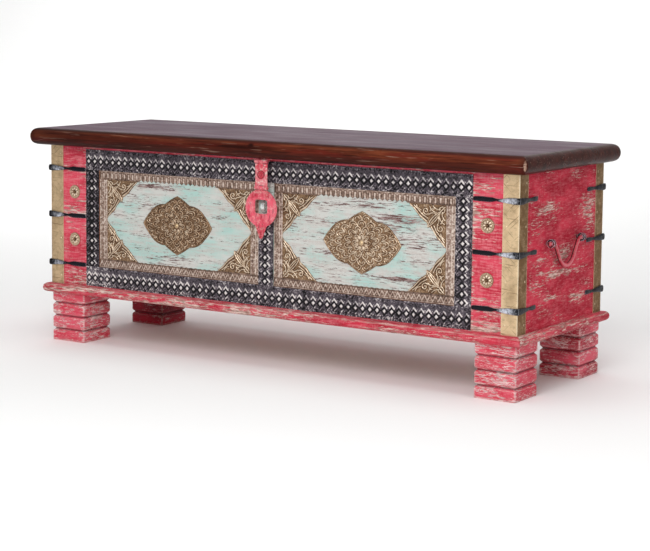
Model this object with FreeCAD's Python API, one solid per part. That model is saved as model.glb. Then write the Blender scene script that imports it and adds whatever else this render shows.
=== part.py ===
import FreeCAD
import Part
import math
import os

# A wooden trunk with a hinged lid, in millimetres. +Z is up, the front faces -Y and the
# origin lies under the middle of the lid, on the floor.

# Carcass
body_width = 1100.0
body_depth = 350.0
body_height = 293.0
wall = 22.0
end_joint_share = 0.47
back_joint_share = 0.5

# Legs and base frame
leg_side = 86.0
leg_height = 103.0
leg_groove_shares = (0.238, 0.515, 0.78)
leg_groove_depth = 4.5
leg_corner_round = 2.5
base_thickness = 19.0
base_overhang = 15.0
base_width = 95.0
base_corner_round = 4.0
bottom_thickness = 12.0
bottom_board_count = 3

# Lid
lid_thickness = 35.0
lid_front_overhang = 37.0
lid_back_overhang = 17.0
lid_side_overhang = 31.0
lid_corner_round = 7.0
lid_plank_count = 3
batten_width = 45.0
batten_thickness = 18.0
batten_wall_gap = 14.0
batten_place_share = 0.6

# Framed front
stile_width = 129.0
top_rail_height = 48.0
bottom_rail_height = 43.0
mullion_width = 35.0
groove_depth = 10.0
groove_thickness = 8.0
groove_setback = 7.0
tongue_gap = 1.0
panel_setback = 2.0
panel_fit = 0.3

# Embossed sheet on the front
border_thickness = 2.0
border_side_width = 35.0
border_top_reveal = 6.0
border_bottom_reveal = 2.0
centre_border_share = 0.62
edging_thickness = 1.5
edging_rail_width = 18.0
edging_side_width = 20.0
edging_fit = 0.4
spandrel_thickness = 2.0
spandrel_width = 80.0
spandrel_height = 80.0
medallion_width = 174.0
medallion_height = 120.0
medallion_thickness = 3.0
rosette_diameter = 28.0
rosette_height = 4.0
rosette_rim = 1.2
rosette_place_share = 0.5
rosette_row_shares = (0.33, 0.67)

# Brass corner angles and their nails
angle_leg = 32.0
angle_thickness = 1.2
angle_top_gap = 0.5
nail_row_shares = (0.06, 0.33, 0.67, 0.94)
nail_head_diameter = 4.4
nail_head_height = 1.2
nail_shank_diameter = 1.8
nail_length = 14.0
nail_edge_distance = 7.0
boss_head_diameter = 10.0
boss_head_height = 3.0
boss_shank_diameter = 2.4

# Forged straps round the corners
strap_row_shares = (0.153, 0.5, 0.833)
strap_front_length = 93.0
strap_side_length = 70.0
strap_corner_width = 13.0
# Each arm from the corner to its end: shares of its length and of the corner's width
strap_front_shares = ((0.0, 1.0), (0.46, 0.3), (0.6, 0.7), (0.94, 0.7), (1.0, 0.52))
strap_side_shares = ((0.0, 1.0), (0.57, 0.44), (0.76, 0.7), (1.0, 0.66))
strap_thickness = 4.0
strap_end_thickness = 2.2
strap_step = 1.0
strap_fit = 0.05

# Butt hinges at the back
hinge_width = 70.0
hinge_place_share = 0.64
hinge_knuckle_count = 5
hinge_knuckle_radius = 4.0
hinge_pin_radius = 2.0
hinge_leaf_length = 18.0
hinge_leaf_thickness = 2.0
hinge_leaf_gap = 0.15
hinge_back_gap = 0.8
hinge_clearance = 0.8
knuckle_side_gap = 0.3
pin_fit = 0.05

# Hasp, its bracket under the lid and its staple
hasp_plane_distance = 17.0
hasp_pivot_drop = 5.5
hasp_knuckle_radius = 4.0
hasp_pin_radius = 2.0
hasp_pin_overhang = 1.0
hasp_edge_clearance = 0.8
hasp_plate_thickness = 3.0
hasp_strap_width = 29.0
hasp_strap_length = 51.5
hasp_leaf_diameter = 74.0
hasp_leaf_drop = 39.0
hasp_tail_width = 26.0
hasp_tail_drop = 99.5
hasp_tail_tip_width = 5.0
hasp_slot_width = 27.0
hasp_slot_height = 29.0
hasp_slot_round = 4.0
hasp_slot_drop = 37.0
hasp_rosette_diameter = 17.0
hasp_rosette_height = 2.5
hasp_rosette_drop = 26.0
bracket_length = 13.0
bracket_width = 44.0
bracket_thickness = 2.0
bracket_wall_gap = 1.0
bracket_web_length = 6.0
staple_width = 8.0
staple_bar = 4.5
staple_height = 24.0
staple_reach = 14.0
staple_root = 14.0
staple_fit = 0.1

# End handles
handle_height = 158.0
handle_half_span = 64.0
handle_standoff = 10.5
bail_radius = 4.0
bail_drop = 47.0
bail_bend_radius = 12.0
bail_slope_share = 1.42
bail_stub_out = 10.0
bail_stub_in = 7.0
eye_radius = 8.0
eye_thickness = 7.0
eye_fit = 0.08
eye_shank_radius = 3.0
eye_shank_depth = 15.0

# Wood screws
screw_radius = 2.0
screw_head_radius = 4.0
screw_head_height = 2.2
leg_screw_length = 55.0
leg_screw_inset = 26.0
hinge_screw_length = 14.0
batten_screw_length = 34.0
bracket_screw_length = 14.0
batten_screw_shares = (0.15, 0.5, 0.85)
screw_fit = 0.05

# One overrun serves every cut that has to pass a face
overrun = 5.0

# Angles: a whole turn in degrees, and how nearly parallel an edge has to be to its axis
full_turn = 360.0
parallel_limit = 0.001

# Levels and faces worked out from the sizes above
base_bottom = leg_height
body_bottom = leg_height + base_thickness
body_top = body_bottom + body_height
lid_top = body_top + lid_thickness
half_width = body_width / 2
body_middle = (lid_front_overhang - lid_back_overhang) / 2
front_face = body_middle - body_depth / 2
back_face = body_middle + body_depth / 2
front_inside = front_face + wall
back_inside = back_face - wall
side_inside = half_width - wall

panel_bottom = body_bottom + bottom_rail_height
panel_top = body_top - top_rail_height
panel_inner = mullion_width / 2
panel_outer = half_width - stile_width
panel_face = front_face + panel_setback
panel_middle_x = (panel_inner + panel_outer) / 2
panel_middle_z = (panel_bottom + panel_top) / 2
groove_front = front_face + groove_setback
groove_back = groove_front + groove_thickness

hinge_axis_y = back_face + hinge_back_gap + hinge_knuckle_radius
hinge_axis_z = body_top
hinge_place = half_width * hinge_place_share
leaf_inside = back_face - hinge_leaf_length
leaf_end = hinge_axis_y - hinge_knuckle_radius - hinge_clearance

hasp_y = front_face - hasp_plane_distance
hasp_pivot_z = body_top - hasp_pivot_drop
leaf_pivot_z = hasp_pivot_z - hasp_strap_length
slot_z = leaf_pivot_z - hasp_slot_drop
hasp_shoulder = hasp_knuckle_radius + hasp_edge_clearance

handle_z = body_bottom + handle_height
handle_x = half_width + handle_standoff

X_AXIS = FreeCAD.Vector(1, 0, 0)
Y_AXIS = FreeCAD.Vector(0, 1, 0)
Z_AXIS = FreeCAD.Vector(0, 0, 1)
MIDDLE = FreeCAD.Vector(0, body_middle, 0)


def vector(x, y, z):
    return FreeCAD.Vector(x, y, z)


def block(x0, x1, y0, y1, z0, z1):
    return Part.makeBox(x1 - x0, y1 - y0, z1 - z0, vector(x0, y0, z0))


def rod(x, y, z, direction, radius, length):
    return Part.makeCylinder(radius, length, vector(x, y, z), direction)


def prism(corners, travel):
    """A closed polygon of 3-D corners pushed along travel."""
    wire = Part.makePolygon(list(corners) + [corners[0]])
    return Part.Face(wire).extrude(travel)


def front_plate(outline, back_y, thickness):
    """An outline of x, z pairs as a plate whose back lies at back_y and which faces -Y."""
    corners = [vector(x, back_y, z) for x, z in outline]
    return prism(corners, vector(0, -thickness, 0))


def plan_plate(outline, z, height):
    corners = [vector(x, y, z) for x, y in outline]
    return prism(corners, vector(0, 0, height))


def edges_along(solid, axis):
    """The straight edges of a block that run along one axis."""
    return [e for e in solid.Edges if e.tangentAt(e.FirstParameter).cross(axis).Length < parallel_limit]


def rounded_plan(x0, x1, y0, y1, z0, z1, radius):
    """A block whose four upright edges are rounded."""
    solid = block(x0, x1, y0, y1, z0, z1)
    return solid.makeFillet(radius, edges_along(solid, Z_AXIS))


def dome(place, outward, radius, height):
    """A round cap standing on a face at place: a low arc turned about the outward axis."""
    ball = (radius ** 2 + height ** 2) / (height * 2)
    half_turn = math.asin(radius / ball) / 2
    centre = height - ball
    shoulder = vector(ball * math.sin(half_turn), 0, centre + ball * math.cos(half_turn))
    edge, top, foot = vector(radius, 0, 0), vector(0, 0, height), vector(0, 0, 0)
    wire = Part.Wire([
        Part.LineSegment(foot, edge).toShape(),
        Part.Arc(edge, shoulder, top).toShape(),
        Part.LineSegment(top, foot).toShape(),
    ])
    cap = Part.Face(wire).revolve(foot, Z_AXIS, full_turn)
    cap.Placement = FreeCAD.Placement(place, FreeCAD.Rotation(Z_AXIS, outward))
    return cap


def bullnose_slab(x0, x1, y0, y1, z0, z1, corner_round):
    """A board rounded over on all four edges, with mitred, slightly rounded corners."""
    nose = (z1 - z0) / 2
    middle = (z0 + z1) / 2
    along_x = block(x0, x1, y0 + nose, y1 - nose, z0, z1)
    for y in (y0 + nose, y1 - nose):
        along_x = along_x.fuse(rod(x0, y, middle, X_AXIS, nose, x1 - x0))
    along_y = block(x0 + nose, x1 - nose, y0, y1, z0, z1)
    for x in (x0 + nose, x1 - nose):
        along_y = along_y.fuse(rod(x, y0, middle, Y_AXIS, nose, y1 - y0))
    slab = along_x.common(along_y).common(rounded_plan(x0, x1, y0, y1, z0, z1, corner_round))
    return slab.removeSplitter()


def mirror_x(shape):
    return shape.mirror(vector(0, 0, 0), X_AXIS)


def mirror_y(shape):
    return shape.mirror(MIDDLE, Y_AXIS)


def cut_all(solid, tools):
    for tool in tools:
        solid = solid.cut(tool)
    return solid


def save(name, shapes):
    """Writes one node: a single solid, or a group of separate solids."""
    group = shapes if isinstance(shapes, list) else [shapes]
    solids = [solid for shape in group for solid in shape.Solids]
    shape = solids[0] if len(solids) == 1 else Part.makeCompound(solids)
    shape.exportStep("parts/" + name + ".step")


# Fasteners

def screw(x, y, z, up, length, fit=0.0):
    """A countersunk wood screw whose head ends flush at z, driven up or down from there."""
    way = 1 if up else -1
    axis = vector(0, 0, way)
    shank = rod(x, y, z, axis, screw_radius + fit, length + fit)
    head = Part.makeCone(screw_head_radius + fit, screw_radius + fit, screw_head_height,
                         vector(x, y, z), axis)
    return shank.fuse(head).removeSplitter()


def dome_nail(place, outward, head_diameter, head_height, shank_diameter, length):
    """A domed nail head standing on a face at place, with its shank driven in."""
    shank = Part.makeCylinder(shank_diameter / 2, length, place, outward * -1)
    return dome(place, outward, head_diameter / 2, head_height).fuse(shank)


# Carcass

def front_stile():
    """The right-hand stile: grooved along its inner edge for the rails and the panel."""
    stile = block(panel_outer, half_width, front_face, front_inside, body_bottom, body_top)
    groove = block(panel_outer, panel_outer + groove_depth, groove_front, groove_back, body_bottom, body_top)
    return stile.cut(groove)


def front_rail(z0, z1, groove_z0, groove_z1):
    """A rail with a stub tenon at each end and a groove for the mullion and panels."""
    rail = block(-panel_outer, panel_outer, front_face, front_inside, z0, z1)
    tenon_end = panel_outer + groove_depth
    tenon = block(-tenon_end, tenon_end, groove_front, groove_back, z0, z1)
    groove = block(-tenon_end, tenon_end, groove_front, groove_back, groove_z0, groove_z1)
    return rail.fuse(tenon).cut(groove).removeSplitter()


def front_mullion():
    mullion = block(-panel_inner, panel_inner, front_face, front_inside, panel_bottom, panel_top)
    tenon = block(-panel_inner, panel_inner, groove_front, groove_back,
                  panel_bottom - groove_depth, panel_top + groove_depth)
    mullion = mullion.fuse(tenon).removeSplitter()
    for side in (-1, 1):
        edge, deep = sorted((side * panel_inner, side * (panel_inner - groove_depth)))
        mullion = mullion.cut(block(edge, deep, groove_front, groove_back,
                                    panel_bottom - groove_depth, panel_top + groove_depth))
    return mullion


def front_panel():
    """The right-hand panel: its field set back in the opening, its tongue in the grooves."""
    reach = groove_depth - tongue_gap
    field = block(panel_inner + panel_fit, panel_outer - panel_fit, panel_face, groove_back,
                  panel_bottom + panel_fit, panel_top - panel_fit)
    tongue = block(panel_inner - reach, panel_outer + reach, groove_front, groove_back,
                   panel_bottom - reach, panel_top + reach)
    return field.fuse(tongue).removeSplitter()


def stacked_boards(x0, x1, y0, y1, joint_share):
    joint = body_bottom + body_height * joint_share
    return [block(x0, x1, y0, y1, body_bottom, joint), block(x0, x1, y0, y1, joint, body_top)]


def bottom_boards():
    width = (back_inside - front_inside) / bottom_board_count
    top = body_bottom + bottom_thickness
    edges = [front_inside + width * i for i in range(bottom_board_count)]
    return [block(-side_inside, side_inside, y, y + width, body_bottom, top) for y in edges]


def base_frame():
    """The base frame's front, back, left and right mouldings, mitred at the corners."""
    x = half_width + base_overhang
    y0 = front_face - base_overhang
    y1 = back_face + base_overhang
    slab = bullnose_slab(-x, x, y0, y1, base_bottom, body_bottom, base_corner_round)
    inner_x = x - base_width
    inner_y0 = y0 + base_width
    inner_y1 = y1 - base_width
    outlines = (
        [(-x, y0), (x, y0), (inner_x, inner_y0), (-inner_x, inner_y0)],
        [(x, y1), (-x, y1), (-inner_x, inner_y1), (inner_x, inner_y1)],
        [(-x, y1), (-x, y0), (-inner_x, inner_y0), (-inner_x, inner_y1)],
        [(x, y0), (x, y1), (inner_x, inner_y1), (inner_x, inner_y0)],
    )
    return [slab.common(plan_plate(outline, base_bottom, base_thickness)) for outline in outlines]


def leg_profile(half_side, plane):
    """The leg's outline seen from one side, notched by its grooves, as a face."""
    depth = leg_groove_depth
    edge = [(half_side, 0)]
    for share in leg_groove_shares:
        z = leg_height * share
        edge += [(half_side, z - depth), (half_side - depth, z), (half_side, z + depth)]
    edge.append((half_side, leg_height))
    outline = edge + [(-u, z) for u, z in reversed(edge)]
    corners = [vector(u, 0, z) if plane == "xz" else vector(0, u, z) for u, z in outline]
    return Part.Face(Part.makePolygon(corners + corners[:1]))


def leg():
    """The front right leg: its faces flush with the body, grooved on all four sides."""
    half = leg_side / 2
    across = leg_profile(half, "xz")
    across.translate(vector(0, -half, 0))
    along = leg_profile(half, "yz")
    along.translate(vector(-half, 0, 0))
    post = across.extrude(vector(0, leg_side, 0)).common(along.extrude(vector(leg_side, 0, 0)))
    post = post.common(rounded_plan(-half, half, -half, half, 0, leg_height, leg_corner_round))
    post.translate(vector(half_width - half, front_face + half, 0))
    return post.removeSplitter()


def leg_screw_places():
    inset = leg_screw_inset
    side = leg_side - inset
    pairs = ((inset, side), (side, inset))
    places = []
    for x_side in (-1, 1):
        for y_face, inward in ((front_face, 1), (back_face, -1)):
            places += [(x_side * (half_width - a), y_face + inward * b) for a, b in pairs]
    return places


# Metalwork on the carcass

def corner_angle():
    """The front right brass angle, wrapped round the corner over the whole body height."""
    out_x = half_width + angle_thickness
    out_y = front_face - angle_thickness
    outline = [
        (half_width - angle_leg, out_y), (out_x, out_y), (out_x, front_face + angle_leg),
        (half_width, front_face + angle_leg), (half_width, front_face), (half_width - angle_leg, front_face),
    ]
    return plan_plate(outline, body_bottom, body_height - angle_top_gap)


def angle_nails():
    """The front right angle's nails: one row through its front leg, one through its side leg."""
    nails = []
    for share in nail_row_shares:
        z = body_bottom + body_height * share
        front = vector(half_width - angle_leg + nail_edge_distance, front_face - angle_thickness, z)
        side = vector(half_width + angle_thickness, front_face + angle_leg - nail_edge_distance, z)
        for place, outward in ((front, Y_AXIS * -1), (side, X_AXIS)):
            nails.append(dome_nail(place, outward, nail_head_diameter, nail_head_height,
                                   nail_shank_diameter, nail_length))
    return nails


def strap_arm(beyond, corner, reach, shares):
    """The outline of a strap arm: full at the corner, a waist, and a paddle at its end."""
    half = strap_corner_width / 2
    edge = [(beyond, half)] + [(corner + reach * along, half * wide) for along, wide in shares]
    return edge + [(u, -v) for u, v in reversed(edge)]


def corner_straps():
    """The front right corner's forged straps, stepped over the brass angle onto the wood."""
    seat = angle_thickness + strap_fit
    crown = seat + strap_thickness
    knee = angle_leg + strap_step * 2
    knee_out = (crown + strap_end_thickness) / 2
    over = angle_leg + strap_step
    x, y = half_width, front_face
    outline = [
        (x, y + strap_side_length), (x, y + over), (x + seat, y + angle_leg), (x + seat, y - seat),
        (x - angle_leg, y - seat), (x - over, y), (x - strap_front_length, y),
        (x - strap_front_length, y - strap_end_thickness), (x - knee, y - knee_out),
        (x, y - crown), (x + crown, y - crown), (x + crown, y), (x + knee_out, y + knee),
        (x + strap_end_thickness, y + strap_side_length),
    ]
    front_view = strap_arm(x + crown, x, -strap_front_length, strap_front_shares)
    side_view = strap_arm(y - crown, y, strap_side_length, strap_side_shares)
    reach = strap_front_length + strap_side_length
    straps = []
    for share in strap_row_shares:
        z = body_bottom + body_height * share
        bar = plan_plate(outline, z - strap_corner_width / 2, strap_corner_width)
        by_front = prism([vector(u, y - reach, z + v) for u, v in front_view], vector(0, reach * 2, 0))
        by_side = prism([vector(x - reach, u, z + v) for u, v in side_view], vector(reach * 2, 0, 0))
        straps.append(bar.common(by_front).common(by_side))
    return straps


def borders():
    """The black embossed strips: top, bottom, the two sides, and the one on the mullion."""
    outer = panel_outer + border_side_width
    top = body_top - border_top_reveal
    bottom = body_bottom + border_bottom_reveal
    y0 = front_face - border_thickness
    centre_top = panel_bottom + (panel_top - panel_bottom) * centre_border_share
    side = block(panel_outer, outer, y0, front_face, panel_bottom, panel_top)
    return {
        "border_top": block(-outer, outer, y0, front_face, panel_top, top),
        "border_bottom": block(-outer, outer, y0, front_face, bottom, panel_bottom),
        "border_sides": [mirror_x(side), side],
        "border_centre": block(-panel_inner, panel_inner, y0, front_face, panel_bottom, centre_top),
    }


def panel_edging():
    """The right-hand panel's brass edging: two side strips between a top and a bottom strip."""
    x0 = panel_inner + edging_fit
    x1 = panel_outer - edging_fit
    z0 = panel_bottom + edging_fit
    z1 = panel_top - edging_fit
    y0 = panel_face - edging_thickness
    low = z0 + edging_rail_width
    high = z1 - edging_rail_width
    return [
        block(x0, x1, y0, panel_face, z0, low),
        block(x0, x1, y0, panel_face, high, z1),
        block(x0, x0 + edging_side_width, y0, panel_face, low, high),
        block(x1 - edging_side_width, x1, y0, panel_face, low, high),
    ]


# A spandrel's free edge, from its end along the rail to its end along the stile, as shares
# of its width and height: two rounded wings with a leaf tip between them
spandrel_edge_shares = (
    (1.0, 0.0), (0.86, 0.13), (0.70, 0.31), (0.52, 0.43), (0.49, 0.55),
    (0.43, 0.53), (0.31, 0.65), (0.24, 0.78), (0.03, 0.95), (0.0, 1.0),
)


def panel_spandrels():
    """The right-hand panel's four corner ornaments, lying inside its edging."""
    x0 = panel_inner + edging_fit + edging_side_width
    x1 = panel_outer - edging_fit - edging_side_width
    z0 = panel_bottom + edging_fit + edging_rail_width
    z1 = panel_top - edging_fit - edging_rail_width
    ornaments = []
    for corner_x, way_x in ((x0, 1), (x1, -1)):
        for corner_z, way_z in ((z0, 1), (z1, -1)):
            outline = [(corner_x, corner_z)]
            for across, along in spandrel_edge_shares:
                outline.append((corner_x + way_x * spandrel_width * across,
                                corner_z + way_z * spandrel_height * along))
            ornaments.append(front_plate(outline, panel_face, spandrel_thickness))
    return ornaments


# A quarter of the medallion's edge from its top tip to its side tip, as shares of half its
# width and height: three lobes, each given by a point midway along its arc and by its end
medallion_lobe_shares = (
    ((0.21, 0.90), (0.375, 0.70)),
    ((0.57, 0.62), (0.70, 0.45)),
    ((0.86, 0.29), (1.0, 0.0)),
)


def medallion():
    """The right-hand panel's lobed plate."""
    half_w = medallion_width / 2
    half_h = medallion_height / 2

    def place(across, up):
        return vector(panel_middle_x + across * half_w, panel_face, panel_middle_z + up * half_h)

    edges = []
    for way_x, way_z in ((1, 1), (1, -1), (-1, -1), (-1, 1)):
        start = (0, 1)
        for through, end in medallion_lobe_shares:
            points = [place(way_x * a, way_z * b) for a, b in (start, through, end)]
            edges.append(Part.Arc(*points).toShape())
            start = end
    wire = Part.Wire(Part.__sortEdges__(edges))
    return Part.Face(wire).extrude(vector(0, -medallion_thickness, 0))


def medallion_nail():
    place = vector(panel_middle_x, panel_face - medallion_thickness, panel_middle_z)
    depth = medallion_thickness + groove_back - panel_face - panel_fit
    return dome_nail(place, Y_AXIS * -1, boss_head_diameter, boss_head_height, boss_shank_diameter, depth)


def stile_rosettes():
    """The right-hand stile's domed rosettes, each on a flat rim."""
    visible = stile_width - border_side_width - angle_leg
    x = half_width - angle_leg - visible * rosette_place_share
    rosettes = []
    for share in rosette_row_shares:
        place = vector(x, front_face, body_bottom + body_height * share)
        rim = Part.makeCylinder(rosette_diameter / 2, rosette_rim, place, Y_AXIS * -1)
        cap = dome(place - Y_AXIS * rosette_rim, Y_AXIS * -1, rosette_diameter / 2 - rosette_rim,
                   rosette_height - rosette_rim)
        rosettes.append(rim.fuse(cap))
    return rosettes


def staple(fit=0.0):
    """The padlock staple: a bar bent into a U, crown forward, its legs driven into the mullion."""
    outer = staple_height / 2 + fit
    inner = staple_height / 2 - staple_bar - fit
    half = staple_width / 2 + fit
    crown_y = front_face - staple_reach + staple_height / 2
    root_y = front_face + staple_root + fit
    loop = Part.makeCylinder(outer, half * 2, vector(-half, crown_y, slot_z), X_AXIS)
    loop = loop.cut(Part.makeCylinder(inner, half * 2, vector(-half, crown_y, slot_z), X_AXIS))
    loop = loop.cut(block(-half, half, crown_y, crown_y + outer, slot_z - outer, slot_z + outer))
    for z0, z1 in ((inner, outer), (-outer, -inner)):
        loop = loop.fuse(block(-half, half, crown_y, root_y, slot_z + z0, slot_z + z1))
    return loop.removeSplitter()


# Hinged joints

def knuckles(y, z, radius, spans):
    solids = [rod(x0, y, z, X_AXIS, radius, x1 - x0) for x0, x1 in spans]
    joined = solids[0]
    for solid in solids[1:]:
        joined = joined.fuse(solid)
    return joined


def hinge_spans(middle_x, first):
    """Every second knuckle of a hinge centred on middle_x, with a little room at each side."""
    pitch = hinge_width / hinge_knuckle_count
    start = middle_x - hinge_width / 2
    gap = knuckle_side_gap / 2
    return [(start + pitch * i + gap, start + pitch * (i + 1) - gap)
            for i in range(first, hinge_knuckle_count, 2)]


def hinge_leaf(middle_x, first, z0, z1):
    """A butt hinge leaf: its plate between lid and back board, its knuckles round the pin."""
    half = hinge_width / 2
    leaf = block(middle_x - half, middle_x + half, leaf_inside, leaf_end, z0, z1)
    spans = hinge_spans(middle_x, first)
    for x0, x1 in spans:
        leaf = leaf.fuse(block(x0, x1, leaf_end, hinge_axis_y, z0, z1))
    leaf = leaf.fuse(knuckles(hinge_axis_y, hinge_axis_z, hinge_knuckle_radius, spans))
    bore = rod(middle_x - half, hinge_axis_y, hinge_axis_z, X_AXIS, hinge_pin_radius + pin_fit, hinge_width)
    return leaf.cut(bore).removeSplitter()


def hinge_screw_places(middle_x):
    y = (leaf_inside + back_face) / 2
    return [(middle_x - hinge_width / 4, y), (middle_x + hinge_width / 4, y)]


def hasp_spans(outer):
    """The two outer knuckles, or the middle one, of a three-knuckle hasp joint."""
    half = hasp_strap_width / 2
    inner = hasp_strap_width / 6
    gap = knuckle_side_gap / 2
    if outer:
        return [(-half, -inner - gap), (inner + gap, half)]
    return [(-inner + gap, inner - gap)]


def hasp_bore(z):
    half = hasp_strap_width / 2 + overrun
    return rod(-half, hasp_y, z, X_AXIS, hasp_pin_radius + pin_fit, half * 2)


def hasp_bracket():
    """The plate screwed under the lid's overhang, with two knuckles for the hasp strap."""
    y1 = front_face - bracket_wall_gap
    y0 = y1 - bracket_length
    half = bracket_width / 2
    bracket = block(-half, half, y0, y1, body_top - bracket_thickness, body_top)
    spans = hasp_spans(True)
    for x0, x1 in spans:
        web = block(x0, x1, hasp_y, hasp_y + bracket_web_length, hasp_pivot_z, body_top)
        bracket = bracket.fuse(web)
    bracket = bracket.fuse(knuckles(hasp_y, hasp_pivot_z, hasp_knuckle_radius, spans))
    return bracket.cut(hasp_bore(hasp_pivot_z)).removeSplitter()


def hasp_strap():
    """The hasp's upper link: one knuckle at its top, two at its lower end."""
    half = hasp_strap_width / 2
    y0 = hasp_y - hasp_plate_thickness / 2
    y1 = hasp_y + hasp_plate_thickness / 2
    top = hasp_pivot_z - hasp_shoulder
    bottom = leaf_pivot_z + hasp_shoulder
    strap = block(-half, half, y0, y1, bottom, top)
    for x0, x1 in hasp_spans(False):
        strap = strap.fuse(block(x0, x1, y0, y1, top, hasp_pivot_z))
    for x0, x1 in hasp_spans(True):
        strap = strap.fuse(block(x0, x1, y0, y1, leaf_pivot_z, bottom))
    strap = strap.fuse(knuckles(hasp_y, hasp_pivot_z, hasp_knuckle_radius, hasp_spans(False)))
    strap = strap.fuse(knuckles(hasp_y, leaf_pivot_z, hasp_knuckle_radius, hasp_spans(True)))
    return strap.cut(hasp_bore(hasp_pivot_z)).cut(hasp_bore(leaf_pivot_z)).removeSplitter()


def hasp_leaf():
    """The hasp's lower link: a round plate with a slot for the staple and a tapered tail."""
    radius = hasp_leaf_diameter / 2
    y0 = hasp_y - hasp_plate_thickness / 2
    y1 = hasp_y + hasp_plate_thickness / 2
    disc_z = leaf_pivot_z - hasp_leaf_drop - hasp_edge_clearance
    disc = rod(0, y0, disc_z, Y_AXIS, radius, hasp_plate_thickness)
    half_tail = hasp_tail_width / 2
    half_tip = hasp_tail_tip_width / 2
    tail = front_plate([(-half_tail, disc_z), (half_tail, disc_z), (half_tail, disc_z - radius),
                        (half_tip, leaf_pivot_z - hasp_tail_drop), (-half_tip, leaf_pivot_z - hasp_tail_drop),
                        (-half_tail, disc_z - radius)], y1, hasp_plate_thickness)
    neck_half = hasp_strap_width / 2
    neck = block(-neck_half, neck_half, y0, y1, disc_z, leaf_pivot_z - hasp_shoulder)
    leaf = disc.fuse(tail).fuse(neck)
    room = hasp_strap_width / 2 + overrun
    leaf = leaf.cut(block(-room, room, y0, y1, leaf_pivot_z - hasp_shoulder, leaf_pivot_z + hasp_shoulder))
    for x0, x1 in hasp_spans(False):
        leaf = leaf.fuse(block(x0, x1, y0, y1, leaf_pivot_z - hasp_shoulder, leaf_pivot_z))
    leaf = leaf.fuse(knuckles(hasp_y, leaf_pivot_z, hasp_knuckle_radius, hasp_spans(False)))
    half_slot = hasp_slot_width / 2
    half_height = hasp_slot_height / 2
    slot = block(-half_slot, half_slot, y0, y1, slot_z - half_height, slot_z + half_height)
    slot = slot.makeFillet(hasp_slot_round, edges_along(slot, Y_AXIS))
    return leaf.cut(slot).cut(hasp_bore(leaf_pivot_z)).removeSplitter()


def hasp_pin(z):
    half = hasp_strap_width / 2 + hasp_pin_overhang
    return rod(-half, hasp_y, z, X_AXIS, hasp_pin_radius, half * 2)


def hasp_rosette():
    place = vector(0, hasp_y - hasp_plate_thickness / 2, hasp_pivot_z - hasp_rosette_drop)
    return dome(place, Y_AXIS * -1, hasp_rosette_diameter / 2, hasp_rosette_height)


# End handles

def handle_eye(y, fit=0.0):
    """A forged eye: its ring outside the right-hand end board, its shank driven in."""
    ring = rod(handle_x, y - eye_thickness / 2, handle_z, Y_AXIS, eye_radius, eye_thickness)
    shank_start = half_width - eye_shank_depth - fit
    shank = rod(shank_start, y, handle_z, X_AXIS, eye_shank_radius + fit, handle_x - shank_start)
    hole = rod(handle_x, y - eye_thickness, handle_z, Y_AXIS, bail_radius + eye_fit, eye_thickness * 2)
    return ring.fuse(shank).cut(hole).removeSplitter()


def handle_eyes(fit=0.0):
    return [handle_eye(body_middle - handle_half_span, fit), handle_eye(body_middle + handle_half_span, fit)]


def handle_bail():
    """The right-hand drop handle: a round bar through both eyes, bent down to a bow between them."""
    bend_start = handle_half_span - bail_stub_in
    outer_end = handle_half_span + bail_stub_out
    slope = math.atan2(bail_drop, bend_start) * bail_slope_share
    sine, cosine = math.sin(slope), math.cos(slope)
    bend = bail_bend_radius
    across = bend_start - bend * sine
    down = bail_drop - bend * (1 - cosine)
    bow = (across * math.tan(slope) - down) / (1 / cosine - 1)

    def place(u, v):
        return vector(handle_x, body_middle + u, handle_z + v)

    def on_bend(side, angle):
        return (side * (bend_start - bend * math.sin(angle)), -bend * (1 - math.cos(angle)))

    def on_bow(angle):
        return (bow * math.sin(angle), -bail_drop + bow * (1 - math.cos(angle)))

    edges = []
    for side in (-1, 1):
        start = (side * outer_end, 0)
        turn = (side * bend_start, 0)
        edges.append(Part.LineSegment(place(*start), place(*turn)).toShape())
        bend_end = on_bend(side, slope)
        edges.append(Part.Arc(place(*turn), place(*on_bend(side, slope / 2)), place(*bend_end)).toShape())
        edges.append(Part.LineSegment(place(*bend_end), place(*on_bow(side * slope))).toShape())
    edges.append(Part.Arc(place(*on_bow(-slope)), place(*on_bow(0)), place(*on_bow(slope))).toShape())
    path = Part.Wire(Part.__sortEdges__(edges))
    section = Part.Wire(Part.makeCircle(bail_radius, place(-outer_end, 0), Y_AXIS))
    return path.makePipeShell([section], True, False)


# Lid

def lid_recesses():
    """Room in the lid's underside for the hinge leaves and the knuckles of both leaves."""
    tools = []
    half = hinge_width / 2
    for middle_x in (-hinge_place, hinge_place):
        tools.append(block(middle_x - half, middle_x + half, leaf_inside, hinge_axis_y,
                           body_top, body_top + hinge_leaf_gap + hinge_leaf_thickness))
        room = hinge_knuckle_radius + hinge_clearance
        tools.append(rod(middle_x - half - knuckle_side_gap, hinge_axis_y, hinge_axis_z, X_AXIS,
                         room, hinge_width + knuckle_side_gap * 2))
    return tools


def lid_battens():
    y0 = front_inside + batten_wall_gap
    y1 = back_inside - batten_wall_gap
    half = batten_width / 2
    place = half_width * batten_place_share
    return [block(x - half, x + half, y0, y1, body_top - batten_thickness, body_top) for x in (-place, place)]


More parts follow.
